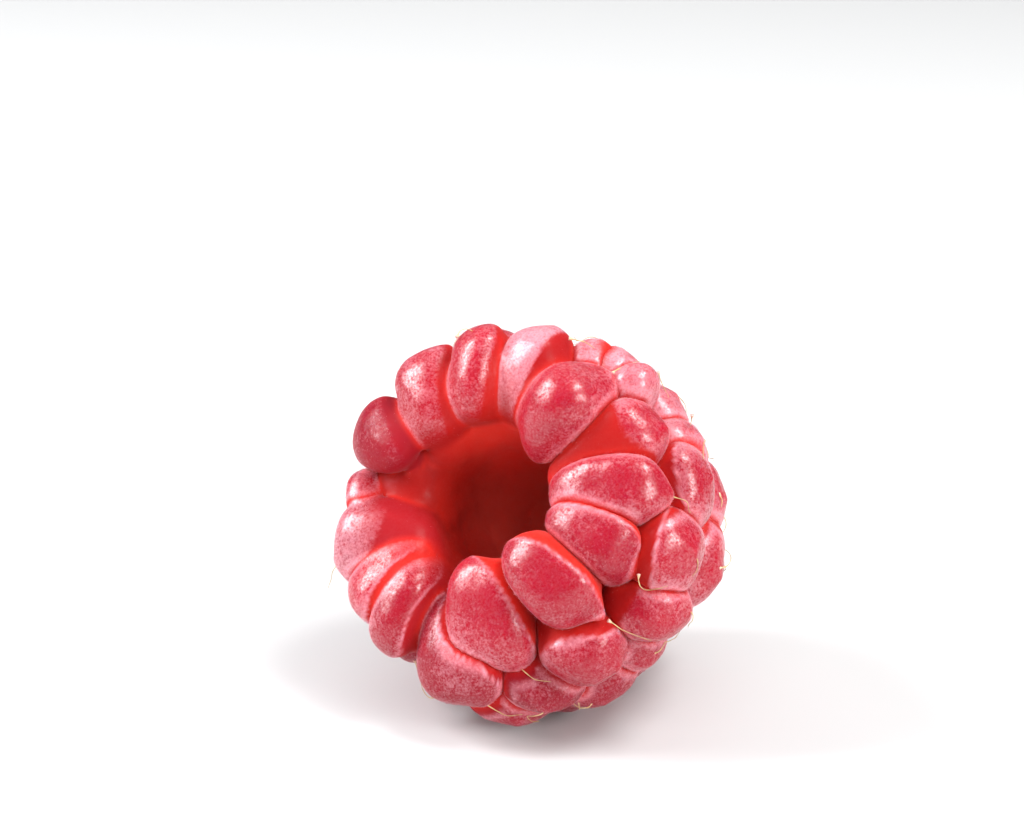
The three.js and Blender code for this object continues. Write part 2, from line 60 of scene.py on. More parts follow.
# centre x, y, z; tilt, skew, roll; half length, half width, half height
DRUPELETS = np.array([
    [-4.07, 6.06, -0.42, -13.0, -12.8, 4.0, 3.10, 2.30, 2.15],
    [-1.03, 7.27, -0.26, -10.6, -10.5, -15.7, 3.07, 1.82, 2.34],
    [1.88, 7.23, -1.04, 2.1, 0.5, -9.2, 3.10, 2.35, 2.38],
    [4.19, 7.58, -2.84, 41.0, 6.2, -0.6, 2.30, 1.75, 1.75],
    [3.93, 5.21, -0.56, 16.6, -5.5, -16.6, 3.22, 2.27, 2.93],
    [6.02, 3.03, -1.23, 2.7, 13.2, 14.4, 3.85, 2.41, 2.18],
    [6.41, 6.31, -2.49, 19.2, -1.2, -0.4, 2.57, 1.41, 1.62],
    [4.95, 6.84, -3.16, 16.8, -0.2, -1.2, 2.71, 2.14, 1.90],
    [6.80, 5.27, -4.87, -2.0, 1.6, 2.8, 2.35, 2.28, 1.77],
    [7.86, 3.40, -4.67, -4.5, -0.7, -2.8, 2.67, 2.03, 2.21],
    [8.43, 1.53, -3.70, -0.3, -0.6, 10.2, 3.00, 2.76, 1.97],
    [8.07, 1.34, -7.31, -9.5, -1.7, 2.6, 2.60, 2.55, 1.89],
    [6.76, 1.04, -0.51, -4.7, -3.6, -0.9, 3.46, 2.14, 2.09],
    [6.19, -1.34, -0.33, -3.4, -18.0, -14.6, 2.93, 2.08, 2.37],
    [4.20, -3.62, 0.61, -7.2, -1.9, -3.7, 3.07, 2.21, 2.47],
    [0.40, -5.64, -0.28, -12.5, -0.0, 3.6, 3.34, 2.68, 2.35],
    [-1.44, -7.65, -0.55, -1.8, 12.1, 6.5, 3.34, 2.90, 1.93],
    [-4.69, -5.59, -0.76, -7.7, 19.3, 15.2, 3.20, 1.88, 2.62],
    [-5.77, -4.17, -0.67, -2.1, -0.9, 18.4, 3.17, 2.01, 2.26],
    [-6.53, -2.11, -1.06, 1.1, -19.3, -10.2, 3.63, 2.79, 2.03],
    [-8.56, 0.23, -1.89, 84.5, 0.4, 17.1, 1.83, 2.12, 1.19],
    [-6.91, 3.85, -0.33, -26.3, -6.7, -0.8, 2.77, 2.40, 1.59],
    [4.39, -6.53, -2.06, 22.6, 18.9, -1.1, 3.65, 2.53, 2.31],
    [8.03, -4.79, -2.94, 0.5, 19.9, 7.4, 2.70, 2.10, 2.22],
    [9.26, -1.96, -2.15, 22.7, -0.4, -4.4, 2.26, 2.57, 2.40],
    [8.70, -1.95, -6.46, -11.3, 0.3, 0.3, 2.45, 2.91, 1.90],
    [6.19, -5.95, -4.68, 5.6, 1.0, -0.1, 2.81, 2.09, 1.91],
    [2.36, -8.30, -2.55, 22.2, 3.7, -30.6, 3.00, 2.76, 1.47],
    [4.21, -8.13, -4.98, 8.0, -0.7, -3.6, 2.47, 2.69, 1.92],
    [0.45, -9.58, -2.86, 6.6, -1.0, -6.7, 2.26, 2.76, 1.94],
    [-3.05, -7.89, -3.83, 6.4, 4.0, -1.9, 2.90, 2.31, 2.42],
    [-7.55, -3.50, -3.96, -5.7, -3.5, 10.6, 3.02, 2.06, 2.13],
    [-5.57, 6.48, -4.46, 3.1, 1.4, -2.8, 2.87, 2.39, 2.36],
    [-2.81, 8.06, -4.59, 2.2, -0.5, -12.9, 2.83, 2.44, 2.45],
    [2.51, 7.08, -4.62, -6.3, 0.3, -3.4, 2.83, 2.14, 2.03],
    [0.09, 7.70, -4.78, 0.9, 2.8, 13.3, 2.86, 2.15, 2.11],
    [-5.94, -5.83, -4.77, -3.7, 1.6, 11.5, 2.98, 2.40, 2.34],
    [-7.53, 4.27, -4.91, -3.4, -4.0, 17.3, 2.82, 2.15, 2.27],
    [-8.45, -0.91, -5.03, -7.8, -0.8, -11.2, 2.97, 2.47, 2.37],
    [1.61, -7.91, -6.15, -17.0, 1.6, -3.3, 3.03, 2.16, 2.09],
    [-1.05, -8.45, -6.20, -12.1, -2.7, -8.6, 2.87, 2.44, 2.28],
    [-4.03, -7.76, -6.61, -9.8, -3.2, 11.9, 2.92, 2.34, 2.17],
    [4.43, 6.08, -6.30, -11.6, -0.6, 9.5, 2.89, 2.16, 2.09],
    [-7.75, 1.73, -6.59, -20.2, -1.9, -7.2, 3.11, 2.39, 2.24],
    [6.43, -4.19, -6.91, -10.6, 3.1, 5.2, 2.77, 2.40, 2.10],
    [-5.40, -2.66, -6.28, -20.4, -0.2, -7.3, 2.95, 2.11, 1.96],
    [-4.06, 6.95, -7.53, -14.2, -4.0, -1.7, 2.83, 2.44, 2.40],
    [-6.31, 4.79, -7.66, -13.2, 2.2, -13.8, 3.09, 2.42, 2.41],
    [1.83, 7.62, -7.73, -21.2, -5.0, 2.1, 2.87, 2.36, 2.20],
    [-1.16, 7.77, -7.83, -19.0, -1.2, -0.5, 2.90, 2.41, 2.31],
    [4.19, -6.08, -7.68, -19.9, -1.8, 4.3, 2.86, 2.45, 2.38],
    [6.08, 3.78, -7.88, -18.8, 1.0, 13.9, 2.88, 2.42, 2.16],
    [-5.25, -6.18, -8.78, -19.0, -1.8, 5.0, 2.97, 2.45, 2.35],
    [-7.32, -0.79, -8.64, -22.9, -2.6, -3.8, 2.92, 2.44, 2.40],
    [1.10, -7.29, -9.09, -19.7, 2.4, -10.1, 3.07, 2.42, 2.44],
    [-2.23, -6.99, -9.23, -24.0, 1.0, -10.8, 2.94, 2.56, 2.31],
    [6.87, -1.52, -9.39, -19.5, 1.6, 5.3, 3.06, 2.34, 2.18],
    [3.89, 5.92, -9.70, -21.4, 0.6, -4.7, 2.86, 2.30, 2.29],
    [-6.72, 2.26, -9.86, -27.1, 3.7, 7.2, 2.88, 2.54, 2.47],
    [5.00, -3.64, -10.16, -27.1, -5.1, 12.7, 2.97, 2.28, 2.26],
    [6.42, 1.27, -10.38, -23.7, -4.7, 3.1, 2.93, 2.43, 2.23],
    [-4.63, 4.81, -10.48, -24.0, 1.6, 2.2, 2.97, 2.38, 2.40],
    [-3.96, -1.99, -9.43, -29.6, 2.5, 9.1, 3.10, 2.06, 2.01],
    [0.91, 6.53, -10.94, -31.2, 1.0, -4.9, 2.89, 2.52, 2.30],
    [-2.05, 6.17, -10.92, -29.6, 3.2, -4.2, 2.84, 2.48, 2.52],
    [2.69, -5.64, -11.11, -23.0, 2.0, 5.2, 3.08, 2.42, 2.32],
    [5.07, 3.59, -11.23, -26.5, 1.5, 6.4, 2.93, 2.10, 2.07],
    [-3.66, -5.58, -11.92, -35.8, -0.6, 4.5, 2.85, 2.53, 2.35],
    [-0.50, -6.16, -11.75, -30.1, -4.4, -16.0, 2.87, 2.44, 2.34],
    [-5.91, -0.30, -12.03, -32.4, -2.6, 7.5, 2.96, 2.54, 2.52],
    [5.33, -1.05, -12.54, -34.2, -8.8, 0.7, 2.97, 2.41, 2.34],
    [-4.84, 2.37, -12.80, -38.3, 1.2, -2.5, 2.92, 2.32, 2.26],
    [2.70, 4.40, -12.92, -41.2, -5.0, 19.8, 2.81, 2.46, 2.46],
    [-2.76, 3.98, -13.29, -49.3, 0.5, 2.6, 2.87, 2.38, 2.25],
    [3.74, -3.30, -13.55, -42.9, 3.4, 13.6, 2.70, 2.38, 2.32],
    [1.10, -5.26, -13.73, -40.5, 0.9, 0.2, 3.01, 2.38, 2.13],
    [4.58, 1.81, -13.68, -44.8, -1.2, -17.3, 2.70, 2.35, 2.46],
    [-0.08, 4.65, -13.57, -44.6, -3.3, 12.2, 2.94, 2.54, 2.50],
    [-3.93, -2.28, -13.50, -45.8, -7.5, -3.7, 3.07, 2.46, 2.44],
    [-1.47, -4.26, -14.26, -41.5, 1.5, 0.5, 2.96, 2.35, 2.31],
    [-2.28, 0.34, -12.77, -54.4, -0.1, 1.3, 2.87, 1.96, 1.92],
    [2.85, -0.47, -14.84, -57.7, -7.1, 6.1, 3.05, 2.37, 2.41],
    [1.63, 2.33, -15.12, -54.4, -0.3, 7.9, 2.80, 2.43, 2.43],
    [0.90, -2.27, -15.29, -61.7, -0.7, 7.7, 3.00, 2.36, 2.41],
    [-1.21, 2.22, -15.47, -56.3, -2.2, 2.0, 2.78, 2.51, 2.49],
    [-1.64, -1.26, -15.57, -66.1, -2.4, 8.7, 2.85, 2.38, 2.27],
    [0.44, 0.18, -15.88, -81.5, 7.4, 11.9, 3.05, 2.27, 2.36],
    [-6.90, 1.05, -2.35, -8.0, 0.0, 0.0, 2.40, 1.75, 1.55],
    [2.43, -6.67, -1.91, 0.0, 0.0, 0.0, 1.35, 1.30, 1.30],
])
HOLLOW = [(5.75, -0.75), (5.10, -1.15), (4.60, -1.9), (4.30, -3.0), (4.02, -5.0), (3.62, -7.0), (3.08, -9.0), (2.40, -11.0), (1.60, -12.5), (0, -13.3)]
HOLLOW_TOP = [(0, -2.1), (3.2, -2.3), (4.30, -3.0)]      # where the core's way out is opened up again, under the ring
FLESH_BACK = [(0, -16.0), (2.8, -15.5), (4.7, -14.0), (6.2, -12.0), (7.2, -10.0), (7.9, -8.0), (8.3, -6.0), (8.3, -4.0), (7.6, -2.3), (6.8, -1.1)]

s_, c_ = math.sin(math.radians(AXIS_RISE)), math.cos(math.radians(AXIS_RISE))
r_, q_ = math.cos(math.radians(AXIS_ROLL)), math.sin(math.radians(AXIS_ROLL))
LEAN = np.array([[1, 0, 0], [0, s_, -c_], [0, c_, s_]]) @ np.array([[r_, -q_, 0], [q_, r_, 0], [0, 0, 1]])


def to_row(p):
    """Berry frame to row frame, in millimetres."""
    return p @ LEAN.T + SEAT


def axes_of(row):
    x, y, z, tilt, skew, roll, al, at, aw = row
    r = math.hypot(x, y)
    e_r, e_t = np.array([x / r, y / r, 0]), np.array([-y / r, x / r, 0])
    t, k, q = (math.radians(v) for v in (tilt, skew, roll))
    d = (e_r * math.cos(k) + e_t * math.sin(k)) * math.cos(t) + np.array([0, 0, 1.0]) * math.sin(t)
    u = e_t - d * (e_t @ d)
    u /= np.linalg.norm(u)
    v = np.cross(d, u)
    return np.stack([d, u * math.cos(q) + v * math.sin(q), -u * math.sin(q) + v * math.cos(q)], 1)


CENTRE = DRUPELETS[:, :3]
AXES = np.array([axes_of(r) for r in DRUPELETS])          # columns: length, width, height
HALF = DRUPELETS[:, 6:9] * np.array([0.985, 0.965, 0.965])
INV = AXES / HALF[:, None, :]                              # (p - c) @ INV[i] has length 1 on the surface
N = len(DRUPELETS)
SQUARE = 2.35 + 0.5 * np.random.default_rng(11).random(N)   # 2 is round, more is squarer across
SQUARE[21] = 2.0
BLUNT = np.where(np.arange(N) < 22, 2.45, 2.25)            # the same along the drupelet
SQUARE[12:16] = 3.1
BLUNT[13:16] = 2.8
TAPER = np.where(np.arange(N) < 22, 0.12, 0.04)


# where a drupelet's bloomed cap turns over, by a crest, into the flank that a neighbour was pressed against, in the berry's
# frame: a point on the crest, the way the flank lies, the way the crest runs, its bow, how steep the flank is, how soft the turn is
CRESTS = {
    21: (np.array((-6.527, 4.352, 0.836)), np.array((0.848, 0.518, -0.113)), np.array((0.513, -0.749, 0.420)), -0.003, 0.10, 0.30),
    0: (np.array((-3.591, 6.395, 1.076)), np.array((0.855, 0.104, -0.507)), np.array((0.293, -0.905, 0.308)), 0.110, 0.12, 0.24),
    1: (np.array((-0.433, 7.235, 1.320)), np.array((0.770, -0.104, -0.630)), np.array((-0.065, -0.994, 0.085)), 0.048, 0.12, 0.20),
    2: (np.array((2.040, 7.111, 0.868)), np.array((0.883, -0.461, -0.089)), np.array((-0.464, -0.886, -0.017)), -0.014, 0.13, 0.14),
    4: (np.array((5.161, 4.284, 0.569)), np.array((0.174, -0.314, -0.933)), np.array((-0.705, -0.702, 0.105)), 0.139, 0.19, 0.05),
    5: (np.array((7.680, 3.970, -0.002)), np.array((-0.526, -0.635, 0.566)), np.array((0.639, -0.734, -0.231)), -0.250, 0.05, 0.22),
    12: (np.array((7.676, 2.742, 0.111)), np.array((-0.118, 0.442, -0.889)), np.array((0.980, -0.091, -0.176)), -0.032, 0.12, 0.05),
    13: (np.array((7.917, -1.214, 0.528)), np.array((0.166, 0.719, -0.675)), np.array((0.474, -0.659, -0.585)), -0.020, 0.15, 0.06),
    14: (np.array((5.922, -4.069, 1.539)), np.array((0.275, 0.747, -0.605)), np.array((0.387, -0.663, -0.641)), 0.044, 0.14, 0.05),
    15: (np.array((1.958, -5.534, 1.188)), np.array((0.628, 0.576, -0.523)), np.array((0.394, -0.815, -0.424)), 0.017, 0.13, 0.05),
    16: (np.array((-1.880, -7.528, 0.847)), np.array((0.783, 0.622, -0.025)), np.array((0.619, -0.773, 0.142)), 0.167, 0.20, 0.08),
    17: (np.array((-4.192, -5.908, 1.066)), np.array((0.606, -0.366, -0.706)), np.array((-0.501, -0.865, 0.018)), 0.143, 0.19, 0.08),
    18: (np.array((-5.953, -4.018, 1.205)), np.array((0.818, -0.575, 0.017)), np.array((-0.574, -0.818, -0.030)), 0.057, 0.19, 0.08),
    19: (np.array((-6.818, -1.327, 0.691)), np.array((0.982, -0.164, 0.098)), np.array((-0.181, -0.963, 0.198)), -0.130, 0.11, 0.22),
    22: (np.array((4.426, -7.256, -0.225)), np.array((-0.484, 0.858, 0.171)), np.array((0.858, 0.427, 0.285)), -0.164, 0.16, 0.10),
    23: (np.array((8.189, -5.243, -1.126)), np.array((-0.863, 0.489, 0.129)), np.array((-0.506, -0.829, -0.237)), 0.066, 0.16, 0.14),
    24: (np.array((9.799, -1.349, -0.647)), np.array((-0.921, 0.182, 0.344)), np.array((-0.028, -0.913, 0.408)), -0.033, 0.14, 0.10),
    10: (np.array((9.701, 2.532, -2.451)), np.array((-0.846, -0.106, 0.522)), np.array((0.317, -0.888, 0.334)), -0.106, 0.14, 0.10),
    27: (np.array((1.106, -9.635, -0.798)), np.array((-0.854, 0.410, -0.319)), np.array((-0.280, -0.881, -0.382)), 0.000, 0.16, 0.10),
}
for i in range(N):
    if i not in CRESTS:
        g = np.random.default_rng(900 + i)
        way = AXES[i][:, 1] * (1 if g.random() < 0.5 else -1) + AXES[i][:, 2] * g.normal() * 0.5 + AXES[i][:, 0] * 0.15
        way /= np.linalg.norm(way)
        run = np.cross(way, AXES[i][:, 2] + AXES[i][:, 0] * 0.4)
        CRESTS[i] = (CENTRE[i] + way * HALF[i][1] * (1.2 if i < 30 else g.uniform(0.42, 0.66)), way, run / np.linalg.norm(run), g.normal() * 0.06, 0.15, 0.08)


FLANK = 0.95        # millimetres past the crest over which a flank falls away


def beyond(p, i):
    """Millimetres past drupelet i's crest, on to its flank."""
    at, way, run, bow = CRESTS[i][:4]
    d = p - at
    x = np.clip(d @ run, -2.4, 2.4)
    return d @ way - bow * x * x


def reach(p, i):
    """How far p is from drupelet i's centre, as a share of its surface distance."""
    u = (p - CENTRE[i]) @ INV[i]
    q = np.abs(u)
    w = 1 + TAPER[i] * np.clip(u[..., 0], -1.2, 1.2)      # slimmer towards the axis
    cross = ((q[..., 1] / w) ** SQUARE[i] + (q[..., 2] / w) ** SQUARE[i]) ** (1 / SQUARE[i])
    ball = (q[..., 0] ** BLUNT[i] + cross ** BLUNT[i]) ** (1 / BLUNT[i])
    press, soft = CRESTS[i][4:]
    k = 0.03 + 0.5 * soft
    s = beyond(p, i)
    return ball + press * k * (np.logaddexp(0, np.clip(s / k, -40, 60)) - np.logaddexp(0, np.clip((s - FLANK) / k, -40, 60)))


# ---- smooth noise ---------------------------------------------------------------------------------
def hash3(ix, iy, iz, seed):
    h = (ix * 73856093) ^ (iy * 19349663) ^ (iz * 83492791) ^ (seed * 2654435761)
    h = (h ^ (h >> 13)) * 1274126177 & 0xFFFFFFFF
    return ((h ^ (h >> 16)) & 0xFFFF) / 32767.5 - 1.0


def noise(p, size, seed=0):
    q = p / size
    f = np.floor(q).astype(np.int64)
    t = q - f
    t = t * t * t * (t * (t * 6 - 15) + 10)
    out = 0
    for a in (0, 1):
        for b in (0, 1):
            for c in (0, 1):
                w = (t[..., 0] if a else 1 - t[..., 0]) * (t[..., 1] if b else 1 - t[..., 1]) * (t[..., 2] if c else 1 - t[..., 2])
                out = out + w * hash3(f[..., 0] + a, f[..., 1] + b, f[..., 2] + c, seed)
    return out


# ---- geodesic sphere ------------------------------------------------------------------------------
def geodesic(n):
    bm = bmesh.new()
    bmesh.ops.create_icosphere(bm, subdivisions=1, radius=1)
    v = np.array([x.co for x in bm.verts])
    f = [[w.index for w in x.verts] for x in bm.faces]
    bm.free()
    names, pts, tris = {}, [], []

    def point(p):
        p = p / np.linalg.norm(p)
        key = tuple(np.round(p, 6) + 0.0)
        if key not in names:
            names[key] = len(pts)
            pts.append(p)
        return names[key]

    for a, b, c in f:
        grid = {}
        for i in range(n + 1):
            for j in range(n + 1 - i):
                grid[i, j] = point(v[a] + (v[b] - v[a]) * i / n + (v[c] - v[a]) * j / n)
        for i in range(n):
            for j in range(n - i):
                tris.append((grid[i, j], grid[i + 1, j], grid[i, j + 1]))
                if i + j < n - 1:
                    tris.append((grid[i + 1, j], grid[i + 1, j + 1], grid[i, j + 1]))
    return np.array(pts), np.array(tris)


NEAR = [[j for j in range(N) if j != i and np.linalg.norm(CENTRE[i] - CENTRE[j]) < HALF[i].max() + HALF[j].max() - 0.2] for i in range(N)]
ROUND = 0.030      # how softly a drupelet turns into the groove beside it, as a share of its half size
TOUCH = 0.020      # how far neighbours press into each other in the groove
FLOOR = 0.72       # the deepest a pit between three drupelets goes


def drupelet(i, dirs):
    """Surface points of drupelet i in directions dirs (in its own axes), pressed against its neighbours."""
    step = dirs * HALF[i]
    step = step @ AXES[i].T

    def f(t):
        p = CENTRE[i] + step * t[:, None]
        r = reach(p, i)
        total = np.exp(np.clip((r - 1) / ROUND, -60, 30))
        for j in NEAR[i]:
            total = total + np.exp(np.clip((r - reach(p, j) - TOUCH) / ROUND, -60, 30))
        return total - 1

    n = len(dirs)
    t_lo, t_hi = np.full(n, 1.30), np.full(n, 1.301)
    found = np.zeros(n, bool)
    prev = 0.0
    for g in np.linspace(0.30, 1.30, 15):
        hit = (f(np.full(n, g)) > 0) & ~found
        t_lo[hit], t_hi[hit] = prev, g
        found |= hit
        prev = g
    for _ in range(11):
        mid = (t_lo + t_hi) / 2
        v = f(mid) > 0
        t_hi = np.where(v, mid, t_hi)
        t_lo = np.where(v, t_lo, mid)
    t = np.maximum((t_lo + t_hi) / 2, FLOOR)
    return CENTRE[i] + step * t[:, None], t


def mesh_object(name, verts, faces):
    m = bpy.data.meshes.new(name)
    m.from_pydata(verts.tolist() if hasattr(verts, "tolist") else verts, [], faces.tolist() if hasattr(faces, "tolist") else faces)
    m.validate()
    m.update()
    o = bpy.data.objects.new(name, m)
    bpy.context.scene.collection.objects.link(o)
    return o


# ---- the berry's surface --------------------------------------------------------------------------
def exposed(i):
    """The direction, in drupelet i's own axes, that most of its uncovered surface faces."""
    k = np.arange(160) + 0.5
    ph, th = np.arccos(1 - 2 * k / 160), math.pi * (1 + 5 ** 0.5) * k
    s = np.stack([np.cos(th) * np.sin(ph), np.sin(th) * np.sin(ph), np.cos(ph)], 1)
    p = CENTRE[i] + (s * HALF[i]) @ AXES[i].T
    free = np.ones(len(s), bool)
    for j in NEAR[i]:
        free &= reach(p, j) > 1
    if not free.any():
        return np.array([1.0, 0, 0])
    d = s[free].mean(0)
    return d


SHOWN = 30                                  # rows of the table on the side of the mouth, which get more facets
BALLS = [geodesic(15), geodesic(8)]


def fine_drupelet(i):
    d = exposed(i)
    L = np.linalg.norm(d)
    dirs = BALLS[i >= SHOWN][0] @ turn(i).T
    dirs = dirs + d / max(L, 1e-6) * 0.42 * min(1.0, L * 1.2)       # more facets where it shows
    dirs /= np.linalg.norm(dirs, axis=1, keepdims=True)
    p, t = drupelet(i, dirs)
    return p


# where a drupelet's outer end comes to a point, in the berry's frame, and how far it is drawn out
TIPS = {
    4: (6.23, 7.34, -0.47, 0.26),
    12: (10.12, 0.98, -0.60, 0.28),
    13: (8.42, -3.09, -0.69, 0.32),
    14: (6.54, -5.46, 0.13, 0.52),
    15: (1.70, -8.49, -0.75, 0.36),
    16: (-0.21, -10.61, -0.55, 0.18),
    0: (-3.67, 8.76, -0.48, 0.30),
    24: (11.41, -2.06, -1.57, 0.20),
    19: (-9.56, -3.10, -0.38, 0.16),
    5: (9.28, 4.44, -1.28, 0.26),
    22: (7.22, -8.41, -1.56, 0.20),
    3: (5.04, 9.40, -1.96, 0.16),
}


def pointed(i, p):
    """Draws a drupelet's outer end out into a low point, where its style sits."""
    if i in TIPS:
        at, high = np.array(TIPS[i][:3]), TIPS[i][3]
    else:
        g = np.random.default_rng(500 + i)
        d = np.array([1.0, g.normal() * 0.12, g.normal() * 0.12])
        at, high = CENTRE[i] + (d / np.linalg.norm(d) * HALF[i]) @ AXES[i].T, 0.16
    way = at - CENTRE[i]
    way /= np.linalg.norm(way)
    near = np.linalg.norm(p - at, axis=1)
    facing = ((p - CENTRE[i]) @ way) > 0
    up = high * np.exp(-(near / 0.85) ** 2) + high * 0.45 * np.exp(-(near / 0.33) ** 2)
    return p + way * (up * facing)[:, None]


def turn(i):
    g = np.random.default_rng(100 + i)
    q = g.normal(size=4)
    q /= np.linalg.norm(q)
    w, x, y, z = q
    return np.array([[1 - 2 * (y * y + z * z), 2 * (x * y - z * w), 2 * (x * z + y * w)],
                     [2 * (x * y + z * w), 1 - 2 * (x * x + z * z), 2 * (y * z - x * w)],
                     [2 * (x * z - y * w), 2 * (y * z + x * w), 1 - 2 * (x * x + y * y)]])


def cup():
    """The flesh that joins the drupelets, with the hollow's wall."""
    prof = FLESH_BACK + HOLLOW
    pts = [np.array(prof[0])]
    for a, b in zip(prof[:-1], prof[1:]):
        a, b = np.array(a), np.array(b)
        n = max(1, int(round(np.linalg.norm(b - a) / 0.30)))
        for k in range(1, n + 1):
            pts.append(a + (b - a) * k / n)
    pts = np.array(pts, float)
    for _ in range(6):
        pts[1:-1] = (pts[:-2] + 2 * pts[1:-1] + pts[2:]) / 4
    pts[0, 0] = pts[-1, 0] = 0
    M = 110
    verts, rows = [], []
    for k, (r, z) in enumerate(pts):
        if r < 1e-6:
            rows.append([len(verts)])
            verts.append([0, 0, z])
        else:
            rows.append(list(range(len(verts), len(verts) + M)))
            for m in range(M):
                th = 2 * math.pi * m / M
                verts.append([r * math.cos(th), r * math.sin(th), z])
    faces = []
    for a, b in zip(rows[:-1], rows[1:]):
        for m in range(M):
            m2 = (m + 1) % M
            if len(a) == 1:
                faces.append((a[0], b[m2], b[m]))
            elif len(b) == 1:
                faces.append((a[m], a[m2], b[0]))
            else:
                faces.append((a[m], a[m2], b[m2]))
                faces.append((a[m], b[m2], b[m]))
    return np.array(verts, float), np.array(faces)


def volume(v, f):
    a, b, c = v[f[:, 0]], v[f[:, 1]], v[f[:, 2]]
    return (a * np.cross(b, c)).sum() / 6


def join_all(pieces):
    """One closed surface from many overlapping closed ones."""
    base = mesh_object("base", *pieces[0])
    others = bpy.data.collections.new("others")
    bpy.context.scene.collection.children.link(others)
    rest = []
    for k, (v, f) in enumerate(pieces[1:]):
        o = mesh_object("o%d" % k, v, f)
        bpy.context.scene.collection.objects.unlink(o)
        others.objects.link(o)
        rest.append(o)
    mod = base.modifiers.new("join", "BOOLEAN")
    mod.operation = "UNION"
    mod.solver = "MANIFOLD"
    mod.operand_type = "COLLECTION"
    mod.collection = others
    deps = bpy.context.evaluated_depsgraph_get()
    done = bpy.data.meshes.new_from_object(base.evaluated_get(deps))
    v = np.zeros(len(done.vertices) * 3)
    done.vertices.foreach_get("co", v)
    v = v.reshape(-1, 3)
    done.calc_loop_triangles()
    f = np.zeros(len(done.loop_triangles) * 3, np.int32)
    done.loop_triangles.foreach_get("vertices", f)
    f = f.reshape(-1, 3)
    for o in rest + [base]:
        bpy.data.objects.remove(o)
    bpy.data.collections.remove(others)
    return v, f


def outer_only(v, f):
    """Keeps the connected surface that reaches furthest, and drops sealed pockets inside the flesh."""
    lab = np.arange(len(v))
    while True:
        m = np.minimum(np.minimum(lab[f[:, 0]], lab[f[:, 1]]), lab[f[:, 2]])
        new = lab.copy()
        for k in range(3):
            np.minimum.at(new, f[:, k], m)
        new = new[new]
        if (new == lab).all():
            break
        lab = new
    top = lab[np.argmax(v[:, 2])]
    keep = lab[f[:, 0]] == top
    f = f[keep]
    used = np.unique(f)
    remap = -np.ones(len(v), int)
    remap[used] = np.arange(len(used))
    return v[used], remap[f]


def finer(prof, step):
    """A profile with points no further apart than step, rounded over its corners."""
    pts = [np.array(prof[0], float)]
    for a, b in zip(prof[:-1], prof[1:]):
        a, b = np.array(a, float), np.array(b, float)
        n = max(1, int(round(np.linalg.norm(b - a) / step)))
        for k in range(1, n + 1):
            pts.append(a + (b - a) * k / n)
    pts = np.array(pts)
    for _ in range(6):
        pts[1:-1] = (pts[:-2] + 2 * pts[1:-1] + pts[2:]) / 4
    pts[0, 0] = pts[-1, 0] = 0
    return pts


def lathe(prof, sides):
    """A closed solid of revolution about the berry's axis, from a profile that starts and ends on the axis."""
    verts, rows = [], []
    for r, z in prof:
        if r < 1e-6:
            rows.append([len(verts)])
            verts.append([0, 0, z])
        else:
            rows.append(list(range(len(verts), len(verts) + sides)))
            for m in range(sides):
                th = 2 * math.pi * m / sides
                verts.append([r * math.cos(th), r * math.sin(th), z])
    faces = []
    for a, b in zip(rows[:-1], rows[1:]):
        for m in range(sides):
            m2 = (m + 1) % sides
            if len(a) == 1:
                faces.append((a[0], b[m2], b[m]))
            elif len(b) == 1:
                faces.append((a[m], a[m2], b[0]))
            else:
                faces.append((a[m], a[m2], b[m2]))
                faces.append((a[m], b[m2], b[m]))
    return np.array(verts, float), np.array(faces)


def taken(o):
    """The vertices and triangles of an object with its modifiers."""
    done = bpy.data.meshes.new_from_object(o.evaluated_get(bpy.context.evaluated_depsgraph_get()))
    v = np.zeros(len(done.vertices) * 3)
    done.vertices.foreach_get("co", v)
    done.calc_loop_triangles()
    f = np.zeros(len(done.loop_triangles) * 3, np.int32)
    done.loop_triangles.foreach_get("vertices", f)
    bpy.data.meshes.remove(done)
    return v.reshape(-1, 3), f.reshape(-1, 3)


def carve(v, f, cv, cf):
    """Takes one closed surface out of another."""
    base, tool = mesh_object("base", v, f), mesh_object("tool", cv, cf)
    mod = base.modifiers.new("cut", "BOOLEAN")
    mod.operation, mod.solver, mod.object = "DIFFERENCE", "MANIFOLD", tool
    v, f = taken(base)
    bpy.data.objects.remove(tool)
    bpy.data.objects.remove(base)
    return v, f


def neighbours(n, f):
    """Edges of a triangle mesh, each way, as index pairs."""
    e = np.concatenate([f[:, [0, 1]], f[:, [1, 2]], f[:, [2, 0]]])
    e = np.concatenate([e, e[:, ::-1]])
    return np.unique(e, axis=0)


def soften(v, f, weight, rounds, share=0.5):
    """Smooths a mesh where weight is above zero."""
    e = neighbours(len(v), f)
    count = np.bincount(e[:, 0], minlength=len(v))[:, None]
    for k in range(rounds):
        m = np.stack([np.bincount(e[:, 0], v[e[:, 1], c], len(v)) for c in range(3)], 1) / count
        v = v + (m - v) * (share * weight)[:, None]
    return v


def outward(v, f):
    """Unit normals at the vertices."""
    n = np.cross(v[f[:, 1]] - v[f[:, 0]], v[f[:, 2]] - v[f[:, 0]])
    out = np.stack([np.bincount(f.ravel(), np.repeat(n[:, c], 3), len(v)) for c in range(3)], 1)
    return out / np.maximum(np.linalg.norm(out, axis=1, keepdims=True), 1e-12)


# ---- build ----------------------------------------------------------------------------------------
def from_row(p):
    return (p - SEAT) @ LEAN


def smooth(x, a, b):
    t = np.clip((x - a) / (b - a), 0, 1)
    return t * t * (3 - 2 * t)


